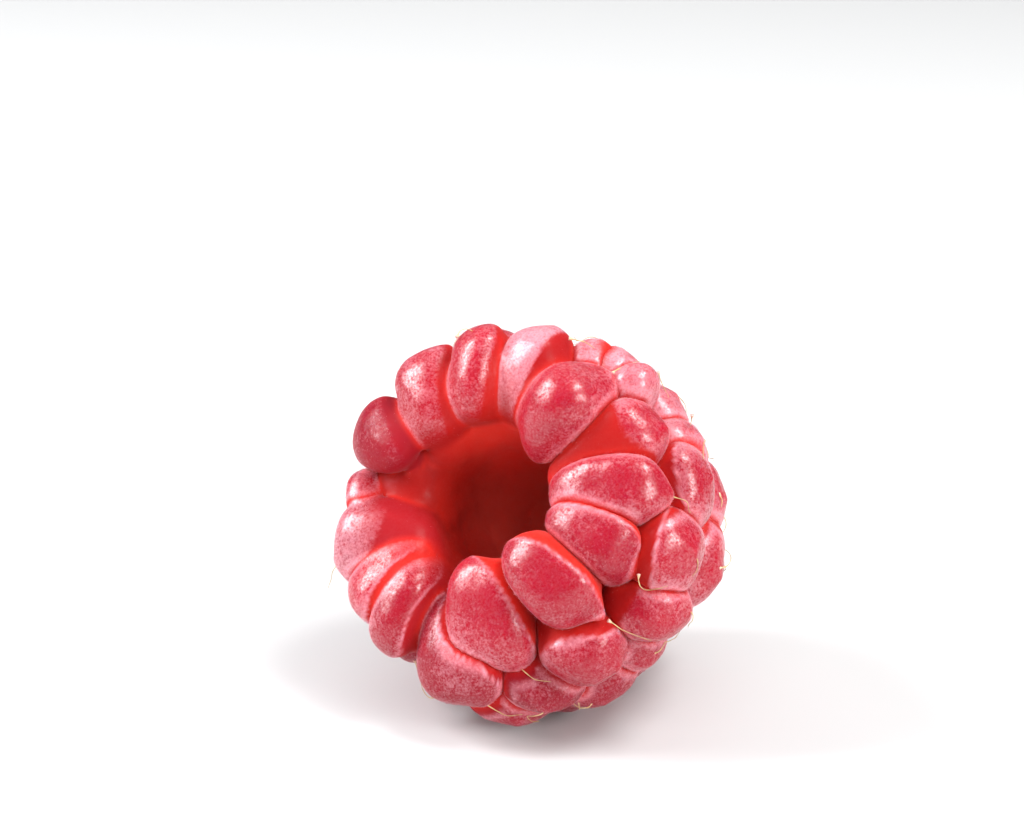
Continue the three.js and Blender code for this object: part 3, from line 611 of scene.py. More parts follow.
pieces = [cup()]
pieces[0] = (to_row(pieces[0][0]), pieces[0][1])
for i in range(N):
    pieces.append((to_row(pointed(i, fine_drupelet(i))), BALLS[i >= SHOWN][1]))
V, F = join_all(pieces)
wall = finer([p for p in HOLLOW if p[1] <= HOLLOW_TOP[-1][1]], 0.30)
core = np.concatenate([finer(HOLLOW_TOP, 0.30)[:-1], wall])
core[0, 0] = core[-1, 0] = 0
cv, cf = lathe(core, 96)
if volume(cv, cf) < 0:
    cf = cf[:, ::-1]
V, F = carve(V, F, to_row(cv), cf)
V, F = outer_only(V, F)

# inside the mouth the drupelets' ends run into the hollow's wall
HZ, HR = np.array([z for r, z in HOLLOW])[::-1], np.array([r for r, z in HOLLOW])[::-1]


def short_of(q):
    """1 alongside the hollow, 0 past its closed end."""
    return smooth(q[:, 2], HZ.min() - 0.7, HZ.min() - 0.2)


def inside_mouth(q):
    """1 on the hollow's wall and the ends of the drupelets round it, 0 on the outside."""
    r = np.hypot(q[:, 0], q[:, 1])
    return (1 - smooth(r - np.interp(q[:, 2], HZ, HR), 0.25, 1.3)) * (1 - smooth(q[:, 2], -1.4, 0.2)) * short_of(q)


def fading(q):
    """1 on the side of the mouth where the drupelets' ends run smoothly into the wall, 0 where they stay distinct."""
    az = np.degrees(np.arctan2(q[:, 1], q[:, 0]))
    off = np.abs((az - 150 + 180) % 360 - 180)
    return 1 - smooth(off, 62, 105)


def near_wall(q):
    r = np.hypot(q[:, 0], q[:, 1])
    return (1 - smooth(r - np.interp(q[:, 2], HZ, HR), 1.4, 3.7)) * (1 - smooth(q[:, 2], -0.1, 2.5)) * short_of(q)


q0 = from_row(V)
V = soften(V, F, inside_mouth(q0), 20)
V = soften(V, F, near_wall(q0) * fading(q0), 120, 0.6)
V[:, 2] = np.maximum(V[:, 2], 0.0)
# slight unevenness
out = outward(V, F)
low = V[:, 2] < 0.02
bumps = 0.050 * noise(V, 1.9, 3) + 0.020 * noise(V, 0.7, 5) + 0.007 * noise(V, 0.28, 6)
V = V + out * (bumps * ~low)[:, None]
V[:, 2] = np.where(low, V[:, 2], np.maximum(V[:, 2], 0.004))


def measure(P):
    """For each point: its place in the berry's frame, the drupelet it is on and its reach, and the next smallest reach
    and its drupelet.
    """
    q = from_row(P)
    g1, g2, own, other = np.full(len(q), 9.0), np.full(len(q), 9.0), np.zeros(len(q), int), np.zeros(len(q), int)
    for i in range(N):
        g = reach(q, i)
        a, b = g < g1, (g >= g1) & (g < g2)
        g2 = np.where(a, g1, np.where(b, g, g2))
        other = np.where(a, own, np.where(b, i, other))
        g1 = np.where(a, g, g1)
        own = np.where(a, i, own)
    return q, g1, g2, own, other


q, g1, g2, own, other = measure(V)
gap = (g2 - g1) * 2.3
past, soft = np.zeros(len(q)), np.zeros(len(q))
for i in range(N):
    k = own == i
    past[k] = beyond(q[k], i)
    soft[k] = CRESTS[i][5]
RING = 22                                     # the first 22 rows of the table are the mouth's ring and its close neighbours
front = np.array([k < RING for k in range(N)])
ragged = 0.030 * noise(V, 0.30, 41) + 0.050 * noise(V, 0.8, 42)
flank = smooth(past + ragged, -0.5 * soft, 0.8 * soft + 0.03)
reachy = np.where(~front[own] & front[other], 0.50, 0.10) + 0.07 * noise(V, 0.9, 21)
seam = 1 - smooth(gap, reachy - 0.10, reachy + 0.10)
inner = inside_mouth(q)
radius = np.hypot(q[:, 0], q[:, 1])
lip = (1 - smooth(radius - np.interp(q[:, 2], HZ, HR), 0.2, 2.3)) * (1 - smooth(q[:, 2], -1.2, 1.0)) * short_of(q)
mouth = (1 - smooth(radius - np.interp(q[:, 2], HZ, HR), 1.2, 3.6)) * (1 - smooth(q[:, 2], -0.2, 2.2)) * fading(q) * short_of(q)
lip = np.maximum(lip, mouth)
bare = np.maximum(np.maximum(flank, seam), lip)
bare = np.maximum(bare, (own >= N - 2) * 1.0)                   # the low ones between the ring's drupelets have no bloom
# nearness to a crease; in the skin's colour it drives a painted glow, a brighter saturated red standing in for light
# coming through the flesh
crease_glow = 1 - smooth(gap, 0.0, 0.5)
# thin pale lines: along the crests, pale down with a painted highlight; and where a cap turns under beside a crease,
# pale down with painted sheen
crest_down_and_highlight = np.exp(-((past + ragged * 0.5 + 0.02) / 0.075) ** 2) * (soft < 0.12) * (1 - 0.6 * smooth(crease_glow, 0.8, 1.0)) * (1 - lip)
# pale rim where a cap turns under beside a crease: pale down with painted sheen
rim_down_and_sheen = np.exp(-((gap - reachy - 0.17) / 0.15) ** 2) * (1 - flank) * (1 - lip)
tones = np.random.default_rng(4).random(N)
lower = 1 - smooth(to_row(CENTRE)[:, 2], 4.0, 8.5)[own]      # the drupelets near the ground
# painted shade on a few listed drupelets, darkening their flesh
painted_shade_rows = np.zeros(N)
painted_shade_rows[[21, 19, 13, 12, 23]] = (2.0, 1.4, 0.5, 0.4, 0.5)
# darker flesh tone: random per drupelet, plus painted shade on the drupelets near the ground and on the listed ones
tone_and_shade = np.clip(tones[own] + 1.5 * lower + painted_shade_rows[own], 0, 2.4)
wallside = (1 - smooth(radius - np.interp(q[:, 2], HZ, HR), 0.1, 1.2)) * short_of(q)
# painted light: far inside the hollow the wall is made lighter and more orange than the wall above it
hollow_glow = wallside * smooth(-q[:, 2], 3.0, 8.5)
fades = fading(q)
topside = np.exp(-((np.degrees(np.arctan2(q[:, 1], q[:, 0])) - 95) / 36) ** 2)
# painted shade: the hollow's wall darker from a little way in, starting further in on its upper side
hollow_shade = wallside * smooth(-q[:, 2], -0.2 + 0.2 * fades + 1.8 * topside, 2.0 + 0.8 * fades + 2.2 * topside)
off = np.abs((np.degrees(np.arctan2(q[:, 1], q[:, 0])) - 80 + 180) % 360 - 180)
sunlit = wallside * (1 - smooth(off, 30, 78)) * smooth(-q[:, 2], 0.2, 1.2) * (1 - smooth(-q[:, 2], 5.0, 11.0))
glow = np.maximum(flank * (np.isin(own, (13, 14, 15)) + 0.35 * (own == 22)), mouth * (0.15 + 0.35 * topside))
# duller drupelets, and those outside the ring, which carry more down; the down is made paler at the top and on listed
# drupelets facing the key light, as painted sheen, and thinner near the ground, as painted shade
upper = smooth(to_row(CENTRE)[:, 2], 8.0, 16.0)[own]
dull = np.maximum((own == 21) * 1.0 + (own == 13) * 0.50 + (own == 23) * 0.20, 0.7 * lower)
down_and_sheen_rows = np.zeros(N)
down_and_sheen_rows[[3, 6, 7, 8]] = 1.0
down_and_sheen_rows[[0, 1, 2, 4, 19]] = (0.50, 0.35, 1.50, 0.0, 1.05)
down_sheen_and_shade = np.where(own < 22, down_and_sheen_rows[own], (0.12 + 0.50 * upper) * (0.6 + 0.4 * tones[own]) - 0.12 * (own < 30)) - 0.35 * lower
clean = np.ones(N)
clean[[4, 12, 13, 14, 23]] = (0.55, 0.50, 0.35, 0.60, 0.55)  # caps with less down on them
# down heavier towards a cap's edges; thinner on the drupelets near the ground, as painted shade
shoulder = (1 - smooth(gap, 0.25, 1.7)) * (1 - 0.60 * lower) * clean[own]

berry = mesh_object("raspberry_flesh", V * MM, F)
me = berry.data
for name, val in (("bare", bare), ("crease_glow", crease_glow), ("tone_and_shade", tone_and_shade), ("hollow_glow", hollow_glow), ("crest_down_and_highlight", crest_down_and_highlight), ("rim_down_sheen", rim_down_and_sheen), ("hollow_shade", hollow_shade), ("dull", dull), ("down_sheen_and_shade", down_sheen_and_shade), ("shoulder", shoulder), ("glow", np.clip(glow, 0, 1)), ("sunlit", sunlit)):
    at = me.attributes.new(name, "FLOAT", "POINT")
    at.data.foreach_set("value", val.astype(np.float32))
me.shade_smooth()
me.set_sharp_from_angle(angle=math.radians(60))
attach(berry, "root")
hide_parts("raspberry")


# ---- styles: the dried threads on the drupelets' ends, and the fine down ---------------------------
# paths in the berry's frame, millimetres, from the drupelet outwards
STYLES = [
    [(6.53, 7.61, -0.59), (6.56, 7.67, -0.62), (6.57, 7.73, -0.7), (6.59, 7.8, -0.81), (6.66, 7.9, -0.96), (6.75, 8.01, -1.15), (6.84, 8.12, -1.37), (6.95, 8.24, -1.61), (7.09, 8.36, -1.85), (7.2, 8.46, -2.06), (7.25, 8.52, -2.21), (7.29, 8.55, -2.33), (7.33, 8.58, -2.43)],
    [(3.9, 9.55, -0.31), (4.19, 9.5, -0.39), (4.45, 9.46, -0.54), (4.67, 9.41, -0.71), (4.83, 9.32, -0.89), (4.94, 9.22, -1.09), (5.03, 9.14, -1.27), (5.09, 9.13, -1.43), (5.14, 9.15, -1.56), (5.19, 9.17, -1.68)],
    [(8.05, 8.11, -3.39), (8.05, 8.0, -3.5), (8.03, 7.89, -3.64), (8.02, 7.78, -3.81), (8.03, 7.63, -3.98), (8.07, 7.45, -4.14), (8.13, 7.28, -4.22), (8.23, 7.12, -4.23), (8.35, 6.96, -4.18), (8.47, 6.79, -4.12)],
    [(10.19, 5.72, -3.5), (10.15, 5.61, -3.57), (10.1, 5.51, -3.68), (10.04, 5.4, -3.78), (9.98, 5.31, -3.88), (9.92, 5.22, -3.97), (9.86, 5.13, -4.06)],
    [(10.39, 4.46, -4.93), (10.72, 4.12, -4.11), (10.78, 3.86, -3.94), (10.85, 3.61, -3.78), (10.93, 3.38, -3.63), (11.02, 3.15, -3.49), (11.11, 2.93, -3.34)],
    [(10.19, 0.94, -0.59), (10.28, 0.91, -0.75), (10.36, 0.89, -0.95), (10.45, 0.86, -1.18), (10.57, 0.83, -1.43), (10.71, 0.79, -1.7), (10.8, 0.72, -1.94), (10.8, 0.58, -2.14), (10.75, 0.41, -2.31), (10.73, 0.27, -2.48), (10.77, 0.2, -2.65), (10.84, 0.17, -2.81), (10.91, 0.14, -2.97), (10.97, 0.11, -3.12), (11.03, 0.08, -3.27), (11.09, 0.05, -3.41)],
    [(10.55, 1.76, -7.08), (10.64, 1.63, -7.07), (10.72, 1.51, -7.11), (10.76, 1.37, -7.15), (10.75, 1.19, -7.18), (10.71, 0.99, -7.2), (10.67, 0.78, -7.23)],
    [(8.91, -3.43, -0.25), (8.92, -3.55, -0.24), (8.9, -3.66, -0.28), (8.89, -3.77, -0.34), (8.89, -3.88, -0.42), (8.9, -4.0, -0.5), (8.93, -4.09, -0.58), (9.0, -4.17, -0.65), (9.1, -4.22, -0.71), (9.24, -4.24, -0.75), (9.44, -4.23, -0.79), (9.68, -4.18, -0.83), (9.89, -4.13, -0.87), (10.05, -4.08, -0.91), (10.18, -4.02, -0.95), (10.31, -3.97, -1.0)],
    [(11.47, -2.04, -1.5), (11.53, -2.17, -1.63), (11.57, -2.29, -1.8), (11.58, -2.43, -1.97), (11.56, -2.59, -2.13), (11.51, -2.76, -2.26), (11.45, -2.92, -2.35), (11.38, -3.06, -2.37), (11.29, -3.19, -2.32), (11.22, -3.32, -2.25)],
    [(11.07, -2.5, -6.43), (11.14, -2.47, -6.52), (11.2, -2.44, -6.63), (11.25, -2.4, -6.75), (11.3, -2.35, -6.86), (11.35, -2.28, -6.98), (11.4, -2.21, -7.09)],
    [(7.34, -6.01, -0.11), (7.4, -6.06, -0.23), (7.45, -6.11, -0.39), (7.51, -6.17, -0.55), (7.58, -6.25, -0.72), (7.66, -6.34, -0.88), (7.8, -6.44, -1.01), (8.03, -6.53, -1.15), (8.32, -6.64, -1.29), (8.58, -6.73, -1.44), (8.79, -6.79, -1.59), (8.97, -6.85, -1.76), (9.15, -6.9, -1.95)],
    [(2.0, -8.69, -0.16), (2.07, -8.74, -0.23), (2.14, -8.8, -0.31), (2.26, -8.88, -0.35), (2.45, -9.02, -0.38), (2.67, -9.18, -0.41), (2.88, -9.31, -0.44), (3.03, -9.37, -0.48), (3.16, -9.39, -0.53), (3.29, -9.4, -0.6), (3.44, -9.41, -0.69), (3.6, -9.42, -0.79), (3.76, -9.43, -0.9)],
    [(-0.13, -10.79, -0.56), (-0.07, -10.83, -0.64), (-0.04, -10.86, -0.76), (0.02, -10.9, -0.88), (0.11, -10.97, -0.99), (0.24, -11.05, -1.07), (0.39, -11.14, -1.15), (0.57, -11.23, -1.24), (0.75, -11.33, -1.33), (0.97, -11.39, -1.43), (1.21, -11.38, -1.52), (1.48, -11.32, -1.62), (1.75, -11.27, -1.71)],
    [(4.12, -10.27, -3.88), (4.14, -10.36, -3.86), (4.14, -10.44, -3.9), (4.12, -10.53, -3.97), (4.11, -10.62, -4.05), (4.09, -10.71, -4.14), (4.07, -10.81, -4.22)],
    [(-9.43, -3.11, -0.07), (-9.54, -3.2, -0.1), (-9.67, -3.29, -0.16), (-9.81, -3.39, -0.24), (-9.95, -3.51, -0.32), (-10.09, -3.64, -0.4), (-10.22, -3.78, -0.5), (-10.31, -3.92, -0.61), (-10.39, -4.07, -0.74), (-10.48, -4.21, -0.85), (-10.59, -4.36, -0.96), (-10.71, -4.51, -1.07), (-10.83, -4.66, -1.18)],
    [(-4.97, -8.56, -1.29), (-4.96, -8.65, -1.35), (-4.97, -8.73, -1.44), (-4.99, -8.82, -1.53), (-5.0, -8.91, -1.62), (-5.02, -9.0, -1.71), (-5.03, -9.09, -1.81)],
    [(-2.29, 9.42, 1.32), (-2.26, 9.56, 1.24), (-2.25, 9.7, 1.14), (-2.2, 9.81, 1.07), (-2.1, 9.89, 1.02), (-1.96, 9.93, 1.02), (-1.79, 9.93, 1.05), (-1.61, 9.88, 1.09), (-1.41, 9.79, 1.14), (-1.22, 9.69, 1.19)],
]


def tube(path, radii, sides=6):
    """A closed tapering tube round a path."""
    path = np.array(path, float)
    tang = np.gradient(path, axis=0)
    tang /= np.maximum(np.linalg.norm(tang, axis=1, keepdims=True), 1e-9)
    ref = np.array([0.31, 0.85, 0.42])
    u = np.cross(tang[0], ref)
    u /= np.linalg.norm(u)
    verts, faces = [], []
    for k, (p, d, r) in enumerate(zip(path, tang, radii)):
        u = u - d * (u @ d)
        u /= np.linalg.norm(u)
        v = np.cross(d, u)
        for m in range(sides):
            a = 2 * math.pi * m / sides
            verts.append(p + (u * math.cos(a) + v * math.sin(a)) * r)
    n = len(path)
    for k in range(n - 1):
        for m in range(sides):
            a, b = k * sides + m, k * sides + (m + 1) % sides
            faces.append((a, b, b + sides))
            faces.append((a, b + sides, a + sides))
    verts.append(path[0])
    verts.append(path[-1] + tang[-1] * radii[-1])
    s, e = len(verts) - 2, len(verts) - 1
    for m in range(sides):
        faces.append((s, (m + 1) % sides, m))
        faces.append((e, (n - 1) * sides + m, (n - 1) * sides + (m + 1) % sides))
    return np.array(verts), np.array(faces)


def spline(path, n):
    """n points evenly along a smooth curve through a path."""
    P = np.array(path, float)
    ext = np.vstack([2 * P[0] - P[1], P, 2 * P[-1] - P[-2]])
    Q = []
    for k in range(len(P) - 1):
        a, b, c, d = ext[k:k + 4]
        for s in np.linspace(0, 1, 9)[:-1]:
            Q.append(0.5 * (2 * b + (c - a) * s + (2 * a - 5 * b + 4 * c - d) * s * s + (3 * b - a - 3 * c + d) * s ** 3))
    Q.append(P[-1])
    Q = np.array(Q)
    far = np.concatenate([[0], np.cumsum(np.linalg.norm(np.diff(Q, axis=0), axis=1))])
    want = np.linspace(0, far[-1], n)
    return np.stack([np.interp(want, far, Q[:, c]) for c in range(3)], 1), far[-1]


def nearest_gap(p, skip=-1):
    """The smallest reach of any drupelet at a point, and which."""
    g = [reach(p[None], i)[0] if i != skip else 9.0 for i in range(N)]
    k = int(np.argmin(g))
    return g[k], k


BOX_LO, BOX_HI = np.array(kept[0]) / MM, np.array(kept[1]) / MM


def grown(i, rng):
    """A style for drupelet i: it leaves the outer end, then curls over the berry."""
    d = np.array([1.0, rng.normal() * 0.16, rng.normal() * 0.16])
    d /= np.linalg.norm(d)
    p = CENTRE[i] + (d * HALF[i]) @ AXES[i].T
    if nearest_gap(p, i)[0] < 1.06:
        return None
    out = AXES[i][:, 0]
    side = np.cross(out, rng.normal(size=3))
    side /= np.linalg.norm(side)
    way = out * 0.55 + side * 0.7
    length = rng.uniform(1.2, 2.7)
    n = 14
    bend = np.cross(out, side) * rng.normal() * 0.5 + side * rng.uniform(0.2, 0.6)
    pts = [p - out * 0.05]
    for k in range(n):
        way = way + bend * 0.30 - out * 0.24 + rng.normal(size=3) * 0.12
        if k == n // 2:
            bend = -bend * rng.uniform(0.2, 0.9)
        way /= np.linalg.norm(way)
        nxt = pts[-1] + way * length / n
        for _ in range(6):                       # stay off the skin
            g, j = nearest_gap(nxt)
            if g > 1.045 + 0.02 * (k > 2):
                break
            push = nxt - CENTRE[j]
            nxt = nxt + push / np.linalg.norm(push) * 0.05
        r = to_row(nxt)
        r = np.clip(r, BOX_LO + [-0.18, -0.18, 0.06], BOX_HI + 0.18)
        nxt = from_row(r)
        way = nxt - pts[-1]
        way /= max(np.linalg.norm(way), 1e-9)
        pts.append(nxt)
    return pts


rng = np.random.default_rng(31)
verts, faces, along = [], [], []
count = 0
paths = [(p, True) for p in STYLES]
for i in range(RING, N):
    if rng.random() < 0.72:
        g = grown(i, rng)
        if g is not None:
            paths.append((g, False))
for p, seen in paths:
    pts, far = spline(p, 18)
    pts = to_row(pts)
    pts = np.clip(pts, BOX_LO + [-0.30, -0.30, 0.05], BOX_HI + 0.30)
    s = np.linspace(0, 1, len(pts))
    r = 0.034 * (1 - 0.55 * s) + 0.085 * np.exp(-(s * far / 0.16) ** 2) + 0.004 * np.sin(s * 23 + far * 9)
    v, f = tube(pts, r)
    faces.append(f + count)
    verts.append(v)
    a = np.repeat(s * far, 6)
    along.append(np.concatenate([a, [0, far]]))
    count += len(v)
SV, SF, SA = np.concatenate(verts), np.concatenate(faces), np.concatenate(along)
SV[:, 2] = np.maximum(SV[:, 2], 0.003)
styles = mesh_object("raspberry_styles", SV * MM, SF)
at = styles.data.attributes.new("along", "FLOAT", "POINT")
at.data.foreach_set("value", SA.astype(np.float32))
styles.data.shade_smooth()
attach(styles, "root")

# fine down: short hairs wherever the skin was not pressed against a neighbour
rng = np.random.default_rng(77)
tri = V[F]
area = np.linalg.norm(np.cross(tri[:, 1] - tri[:, 0], tri[:, 2] - tri[:, 0]), axis=1) / 2
grow = 1 - bare[F].mean(1)
grow = np.clip(grow, 0.03, 1) * (tri[:, :, 2].mean(1) > 0.25)
grow = grow * (1 - np.clip(inner[F].mean(1), 0, 1))
w = area * grow * (0.18 + 0.82 * shoulder[F].mean(1)) * (1 + 3.0 * rim_down_and_sheen[F].mean(1) + 2.5 * crest_down_and_highlight[F].mean(1))
fn = outward(V, F)
HAIRS = 48000                               # on each of two pieces


def down_piece(name):
    pick = rng.choice(len(F), HAIRS, p=w / w.sum())
    u1, u2 = rng.random(HAIRS), rng.random(HAIRS)
    flip = u1 + u2 > 1
    u1[flip], u2[flip] = 1 - u1[flip], 1 - u2[flip]
    t3 = tri[pick]
    root = t3[:, 0] + (t3[:, 1] - t3[:, 0]) * u1[:, None] + (t3[:, 2] - t3[:, 0]) * u2[:, None]
    nrm = fn[F[pick]].mean(1)
    nrm /= np.linalg.norm(nrm, axis=1, keepdims=True)
    lie = np.stack([noise(root, 0.9, s) for s in (61, 62, 63)], 1) * 1.1      # hairs near each other lie alike
    way = nrm + lie - nrm * (lie * nrm).sum(1, keepdims=True) + rng.normal(size=(HAIRS, 3)) * 0.30
    way /= np.linalg.norm(way, axis=1, keepdims=True)
    long_ = rng.uniform(0.05, 0.14, HAIRS) * (0.7 + 0.3 * grow[pick])
    wide = rng.uniform(0.0030, 0.0048, HAIRS)
    ref = np.cross(way, rng.normal(size=(HAIRS, 3)))
    ref /= np.linalg.norm(ref, axis=1, keepdims=True)
    ref2 = np.cross(way, ref)
    HV = np.zeros((HAIRS, 4, 3))
    for k, ang in enumerate((0, 2 * math.pi / 3, 4 * math.pi / 3)):
        HV[:, k] = root - nrm * 0.012 + (ref * math.cos(ang) + ref2 * math.sin(ang)) * wide[:, None]
    HV[:, 3] = root + way * long_[:, None]
    HV[:, :, 2] = np.maximum(HV[:, :, 2], 0.002)
    base = np.arange(HAIRS)[:, None] * 4
    HF = np.concatenate([base + [0, 1, 3], base + [1, 2, 3], base + [2, 0, 3], base + [0, 2, 1]])
    o = mesh_object(name, HV.reshape(-1, 3) * MM, HF)
    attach(o, "root")
    return o


downs = [down_piece("raspberry_down_a"), down_piece("raspberry_down_b")]


# ---- materials ------------------------------------------------------------------------------------
def material(name):
    m = bpy.data.materials.new(name)
    m.use_nodes = True
    t = m.node_tree
    for n in list(t.nodes):
        t.nodes.remove(n)
    out = t.nodes.new("ShaderNodeOutputMaterial")
    b = t.nodes.new("ShaderNodeBsdfPrincipled")
    t.links.new(b.outputs[0], out.inputs[0])
    return m, t, b


def attribute(t, name):
    n = t.nodes.new("ShaderNodeAttribute")
    n.attribute_name = name
    return n.outputs["Fac"]


def ramp(t, src, *stops):
    n = t.nodes.new("ShaderNodeValToRGB")
    e = n.color_ramp.elements
    while len(e) > 1:
        e.remove(e[-1])
    e[0].position, e[0].color = stops[0][0], (*stops[0][1], 1)
    for p, c in stops[1:]:
        k = e.new(p)
        k.color = (*c, 1)
    t.links.new(src, n.inputs[0])
    return n.outputs[0]


def maths(t, op, a, b=None, clamp=False):
    n = t.nodes.new("ShaderNodeMath")
    n.operation = op
    n.use_clamp = clamp
    for k, v in enumerate((a, b)):
        if v is None:
            continue
        if isinstance(v, (int, float)):
            n.inputs[k].default_value = v
        else:
            t.links.new(v, n.inputs[k])
    return n.outputs[0]


def mix(t, f, a, b, mode="MIX"):
    n = t.nodes.new("ShaderNodeMix")
    n.data_type = "RGBA"
    n.blend_type = mode
    for k, v in ((0, f), (6, a), (7, b)):
        if isinstance(v, tuple):
            n.inputs[k].default_value = (*v, 1)
        elif isinstance(v, (int, float)):
            n.inputs[k].default_value = v
        else:
            t.links.new(v, n.inputs[k])
    return n.outputs[2]


def noise_tex(t, coords, scale, detail=3, rough=0.5):
    n = t.nodes.new("ShaderNodeTexNoise")
    n.inputs["Scale"].default_value = scale
    n.inputs["Detail"].default_value = detail
    n.inputs["Roughness"].default_value = rough
    t.links.new(coords, n.inputs["Vector"])
    return n.outputs["Fac"]


skin, t, b = material("raspberry_skin")
co = t.nodes.new("ShaderNodeTexCoord").outputs["Object"]
bare_ = attribute(t, "bare")
crease_glow_ = attribute(t, "crease_glow")
tone_and_shade_ = attribute(t, "tone_and_shade")
hollow_glow_ = attribute(t, "hollow_glow")
crest_down_and_highlight_ = attribute(t, "crest_down_and_highlight")
rim_down_sheen_ = attribute(t, "rim_down_sheen")
hollow_shade_ = attribute(t, "hollow_shade")
dull_ = attribute(t, "dull")
down_sheen_and_shade_ = attribute(t, "down_sheen_and_shade")
shoulder_ = attribute(t, "shoulder")
glow_ = attribute(t, "glow")
sunlit_ = attribute(t, "sunlit")
fine = noise_tex(t, co, 7500, 2, 0.6)
mott = noise_tex(t, co, 3600, 3, 0.6)
patch = noise_tex(t, co, 800, 2, 0.5)
# the skin itself: saturated where it was pressed against a neighbour, more crimson on the caps
flesh = mix(t, bare_, (0.40, 0.008, 0.026), (0.42, 0.0130, 0.0100))
# darker flesh where the tone is high: partly random tone, partly painted shade near the ground and on a few drupelets
flesh = mix(t, maths(t, "MULTIPLY", tone_and_shade_, 0.35), flesh, (0.22, 0.005, 0.016))
# painted glow: brighter saturated red in the creases, in place of light coming through the flesh
flesh = mix(t, maths(t, "MULTIPLY", crease_glow_, 0.6), flesh, (0.62, 0.022, 0.015))
flesh = mix(t, glow_, flesh, (0.58, 0.021, 0.014))
# bloom of fine pale down; partly painted sheen on the drupelets at the top and upper left and on the caps' rims, a
# painted highlight along the crests, and less of it near the ground as painted shade
cover = maths(t, "ADD", maths(t, "MULTIPLY", maths(t, "SUBTRACT", mott, 0.5), 1.8), maths(t, "MULTIPLY", maths(t, "SUBTRACT", patch, 0.5), 2.0))
cover = maths(t, "ADD", cover, maths(t, "MULTIPLY", maths(t, "SUBTRACT", fine, 0.5), 2.4))
cover = maths(t, "ADD", cover, maths(t, "ADD", maths(t, "MULTIPLY", maths(t, "MAXIMUM", shoulder_, down_sheen_and_shade_), 1.10), -0.28))
cover = maths(t, "MULTIPLY", cover, maths(t, "SUBTRACT", 1.0, bare_), clamp=True)
cover = maths(t, "MULTIPLY", cover, 0.27)
# heavier pale bloom on drupelets given extra down: partly down, partly painted sheen
heavy = maths(t, "MULTIPLY", maths(t, "SUBTRACT", down_sheen_and_shade_, 0.6), maths(t, "SUBTRACT", 1.0, bare_), clamp=True)
cover = maths(t, "ADD", cover, maths(t, "MULTIPLY", maths(t, "MULTIPLY", heavy, maths(t, "SUBTRACT", maths(t, "ADD", fine, mott), 0.35), clamp=True), 0.42))
# pale down with a painted highlight along the crests
cover = maths(t, "ADD", cover, maths(t, "MULTIPLY", crest_down_and_highlight_, 0.45))
# painted sheen along the caps' rims, with pale down
cover = maths(t, "ADD", cover, maths(t, "MULTIPLY", rim_down_sheen_, 0.30), clamp=True)
colour = mix(t, cover, flesh, (0.80, 0.36, 0.43))
streak = maths(t, "MULTIPLY", maths(t, "SUBTRACT", noise_tex(t, co, 520, 3, 0.6), 0.42), 3.5, clamp=True)
# painted shade on the hollow's wall, streaked
colour = mix(t, hollow_shade_, colour, mix(t, streak, (0.34, 0.011, 0.007), (0.20, 0.006, 0.004)))
# painted light deep inside the hollow
colour = mix(t, hollow_glow_, colour, (0.60, 0.065, 0.045))
colour = mix(t, maths(t, "MULTIPLY", sunlit_, 0.95), colour, (0.82, 0.046, 0.032))
t.links.new(colour, b.inputs["Base Color"])
t.links.new(maths(t, "ADD", maths(t, "MULTIPLY", bare_, 0.20), 0.40), b.inputs["Roughness"])
b.inputs["Specular IOR Level"].default_value = 0.12
b.inputs["IOR"].default_value = 1.40
b.inputs["Subsurface Weight"].default_value = 0.6
b.inputs["Subsurface Radius"].default_value = (1.0, 0.12, 0.09)
b.inputs["Subsurface Scale"].default_value = 0.0020
shine = maths(t, "SUBTRACT", 1.0, maths(t, "MULTIPLY", bare_, 0.92))
shine = maths(t, "MULTIPLY", shine, maths(t, "ADD", maths(t, "MULTIPLY", fine, 2.6), maths(t, "SUBTRACT", maths(t, "MULTIPLY", mott, 1.4), 1.38)), clamp=True)
shine = maths(t, "MULTIPLY", shine, maths(t, "SUBTRACT", 1.0, maths(t, "MULTIPLY", dull_, 0.75)), clamp=True)
shine = maths(t, "MULTIPLY", shine, maths(t, "SUBTRACT", 1.0, maths(t, "MULTIPLY", crest_down_and_highlight_, 0.8)), clamp=True)
t.links.new(shine, b.inputs["Coat Weight"])
b.inputs["Coat IOR"].default_value = 1.80
b.inputs["Coat Roughness"].default_value = 0.29
b.inputs["Sheen Weight"].default_value = 0.08
b.inputs["Sheen Roughness"].default_value = 0.32
b.inputs["Sheen Tint"].default_value = (1.0, 0.80, 0.84, 1)
bump = t.nodes.new("ShaderNodeBump")
bump.inputs["Strength"].default_value = 0.5
bump.inputs["Distance"].default_value = 0.00005
grain = maths(t, "ADD", fine, maths(t, "MULTIPLY", mott, 0.7))
t.links.new(maths(t, "MULTIPLY", grain, maths(t, "SUBTRACT", 1.1, bare_)), bump.inputs["Height"])
t.links.new(bump.outputs[0], b.inputs["Normal"])
berry.data.materials.append(skin)

thread, t, b = material("raspberry_style")
al = attribute(t, "along")
co2 = t.nodes.new("ShaderNodeTexCoord").outputs["Object"]
col = ramp(t, al, (0.0, (0.83, 0.42, 0.42)), (0.10, (0.72, 0.50, 0.30)), (0.35, (0.50, 0.33, 0.13)), (0.65, (0.62, 0.46, 0.20)), (1.0, (0.40, 0.24, 0.08)))
n1 = noise_tex(t, co2, 3000, 2, 0.5)
col = mix(t, maths(t, "MULTIPLY", n1, 0.5), col, (0.78, 0.62, 0.36))
t.links.new(col, b.inputs["Base Color"])
b.inputs["Roughness"].default_value = 0.45
styles.data.materials.append(thread)

fuzz, t, b = material("raspberry_down_hair")
co3 = t.nodes.new("ShaderNodeTexCoord").outputs["Object"]
n2 = noise_tex(t, co3, 2200, 2, 0.5)
t.links.new(mix(t, n2, (0.76, 0.22, 0.28), (0.86, 0.46, 0.50)), b.inputs["Base Color"])
b.inputs["Roughness"].default_value = 0.40
for o in downs:
    o.data.materials.append(fuzz)

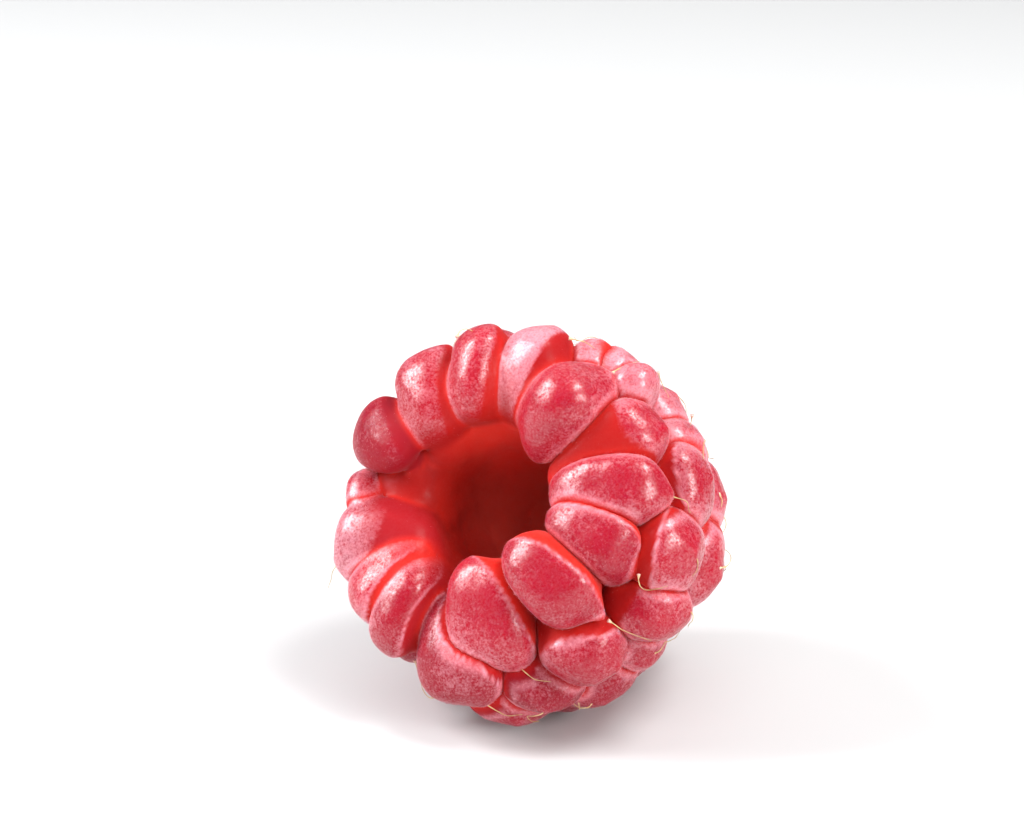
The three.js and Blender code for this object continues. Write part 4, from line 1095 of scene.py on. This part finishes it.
# ---- floor, light and camera ----------------------------------------------------------------------
floor = mesh_object("floor", [(-1.5, -1.5, 0), (1.5, -1.5, 0), (1.5, 1.5, 0), (-1.5, 1.5, 0)], [(0, 1, 2, 3)])
fm, t, b = material("floor_paper")
b.inputs["Base Color"].default_value = (0.64, 0.64, 0.64, 1)
b.inputs["Roughness"].default_value = 0.7
floor.data.materials.append(fm)

CAM = np.array([71.206, -137.743, 64.419])
TURN = np.array([[0.881524, -0.13799, 0.451525], [0.47214, 0.257716, -0.843011], [-3.8e-05, 0.956317, 0.292333]])
cam = bpy.data.cameras.new("camera")
cam.sensor_width = 36
cam.lens = 2844.0 / 1024 * 36
cam.clip_start, cam.clip_end = 0.005, 10
camera = bpy.data.objects.new("camera", cam)
bpy.context.scene.collection.objects.link(camera)
m4 = np.eye(4)
m4[:3, :3] = TURN
m4[:3, 3] = CAM * MM
camera.matrix_world = Matrix(m4.tolist())
bpy.context.scene.camera = camera


def softbox(name, direction, distance, size, power, colour=(1, 1, 1), aim=(0, 0, 0.011), along=None):
    """direction is in the camera's own axes: right, up, towards the camera."""
    d = TURN @ np.array(direction, float)
    d /= np.linalg.norm(d)
    l = bpy.data.lights.new(name, "AREA")
    l.shape = "RECTANGLE"
    l.size, l.size_y = size
    l.energy = power
    l.color = colour
    o = bpy.data.objects.new(name, l)
    bpy.context.scene.collection.objects.link(o)
    o.location = Vector(aim) + Vector(d.tolist()) * distance
    q = Vector(d.tolist()).to_track_quat("Z", "Y")
    if along is not None:                        # the way its long side runs, in the camera's own axes
        y = TURN @ np.array(along, float)
        y -= d * (y @ d)
        y /= np.linalg.norm(y)
        x = np.cross(y, d)
        q = Matrix(np.stack([x, y, d], 1).tolist()).to_quaternion()
    o.rotation_euler = q.to_euler()
    return o


softbox("key", (-0.80, 0.52, 0.13), 0.45, (0.19, 0.31), 2.85, colour=(0.96, 0.98, 1.0), along=(0.55, 0.80, 0.0))
softbox("window_high", (0.42, 0.76, 0.46), 0.50, (0.22, 0.17), 1.8)
softbox("window_low", (0.62, 0.18, 0.74), 0.50, (0.18, 0.16), 1.35)
front = softbox("front", (0.10, 0.30, 0.95), 0.90, (1.0, 1.0), 5.8)
front.visible_glossy = False
softbox("top", (0.05, 1.0, -0.15), 0.65, (0.90, 0.90), 2.0)
world = bpy.data.worlds.new("studio")
bpy.context.scene.world = world
world.use_nodes = True
world.node_tree.nodes["Background"].inputs[0].default_value = (1, 1, 1, 1)
world.node_tree.nodes["Background"].inputs[1].default_value = 0.14
bpy.context.scene.view_settings.view_transform = "Standard"
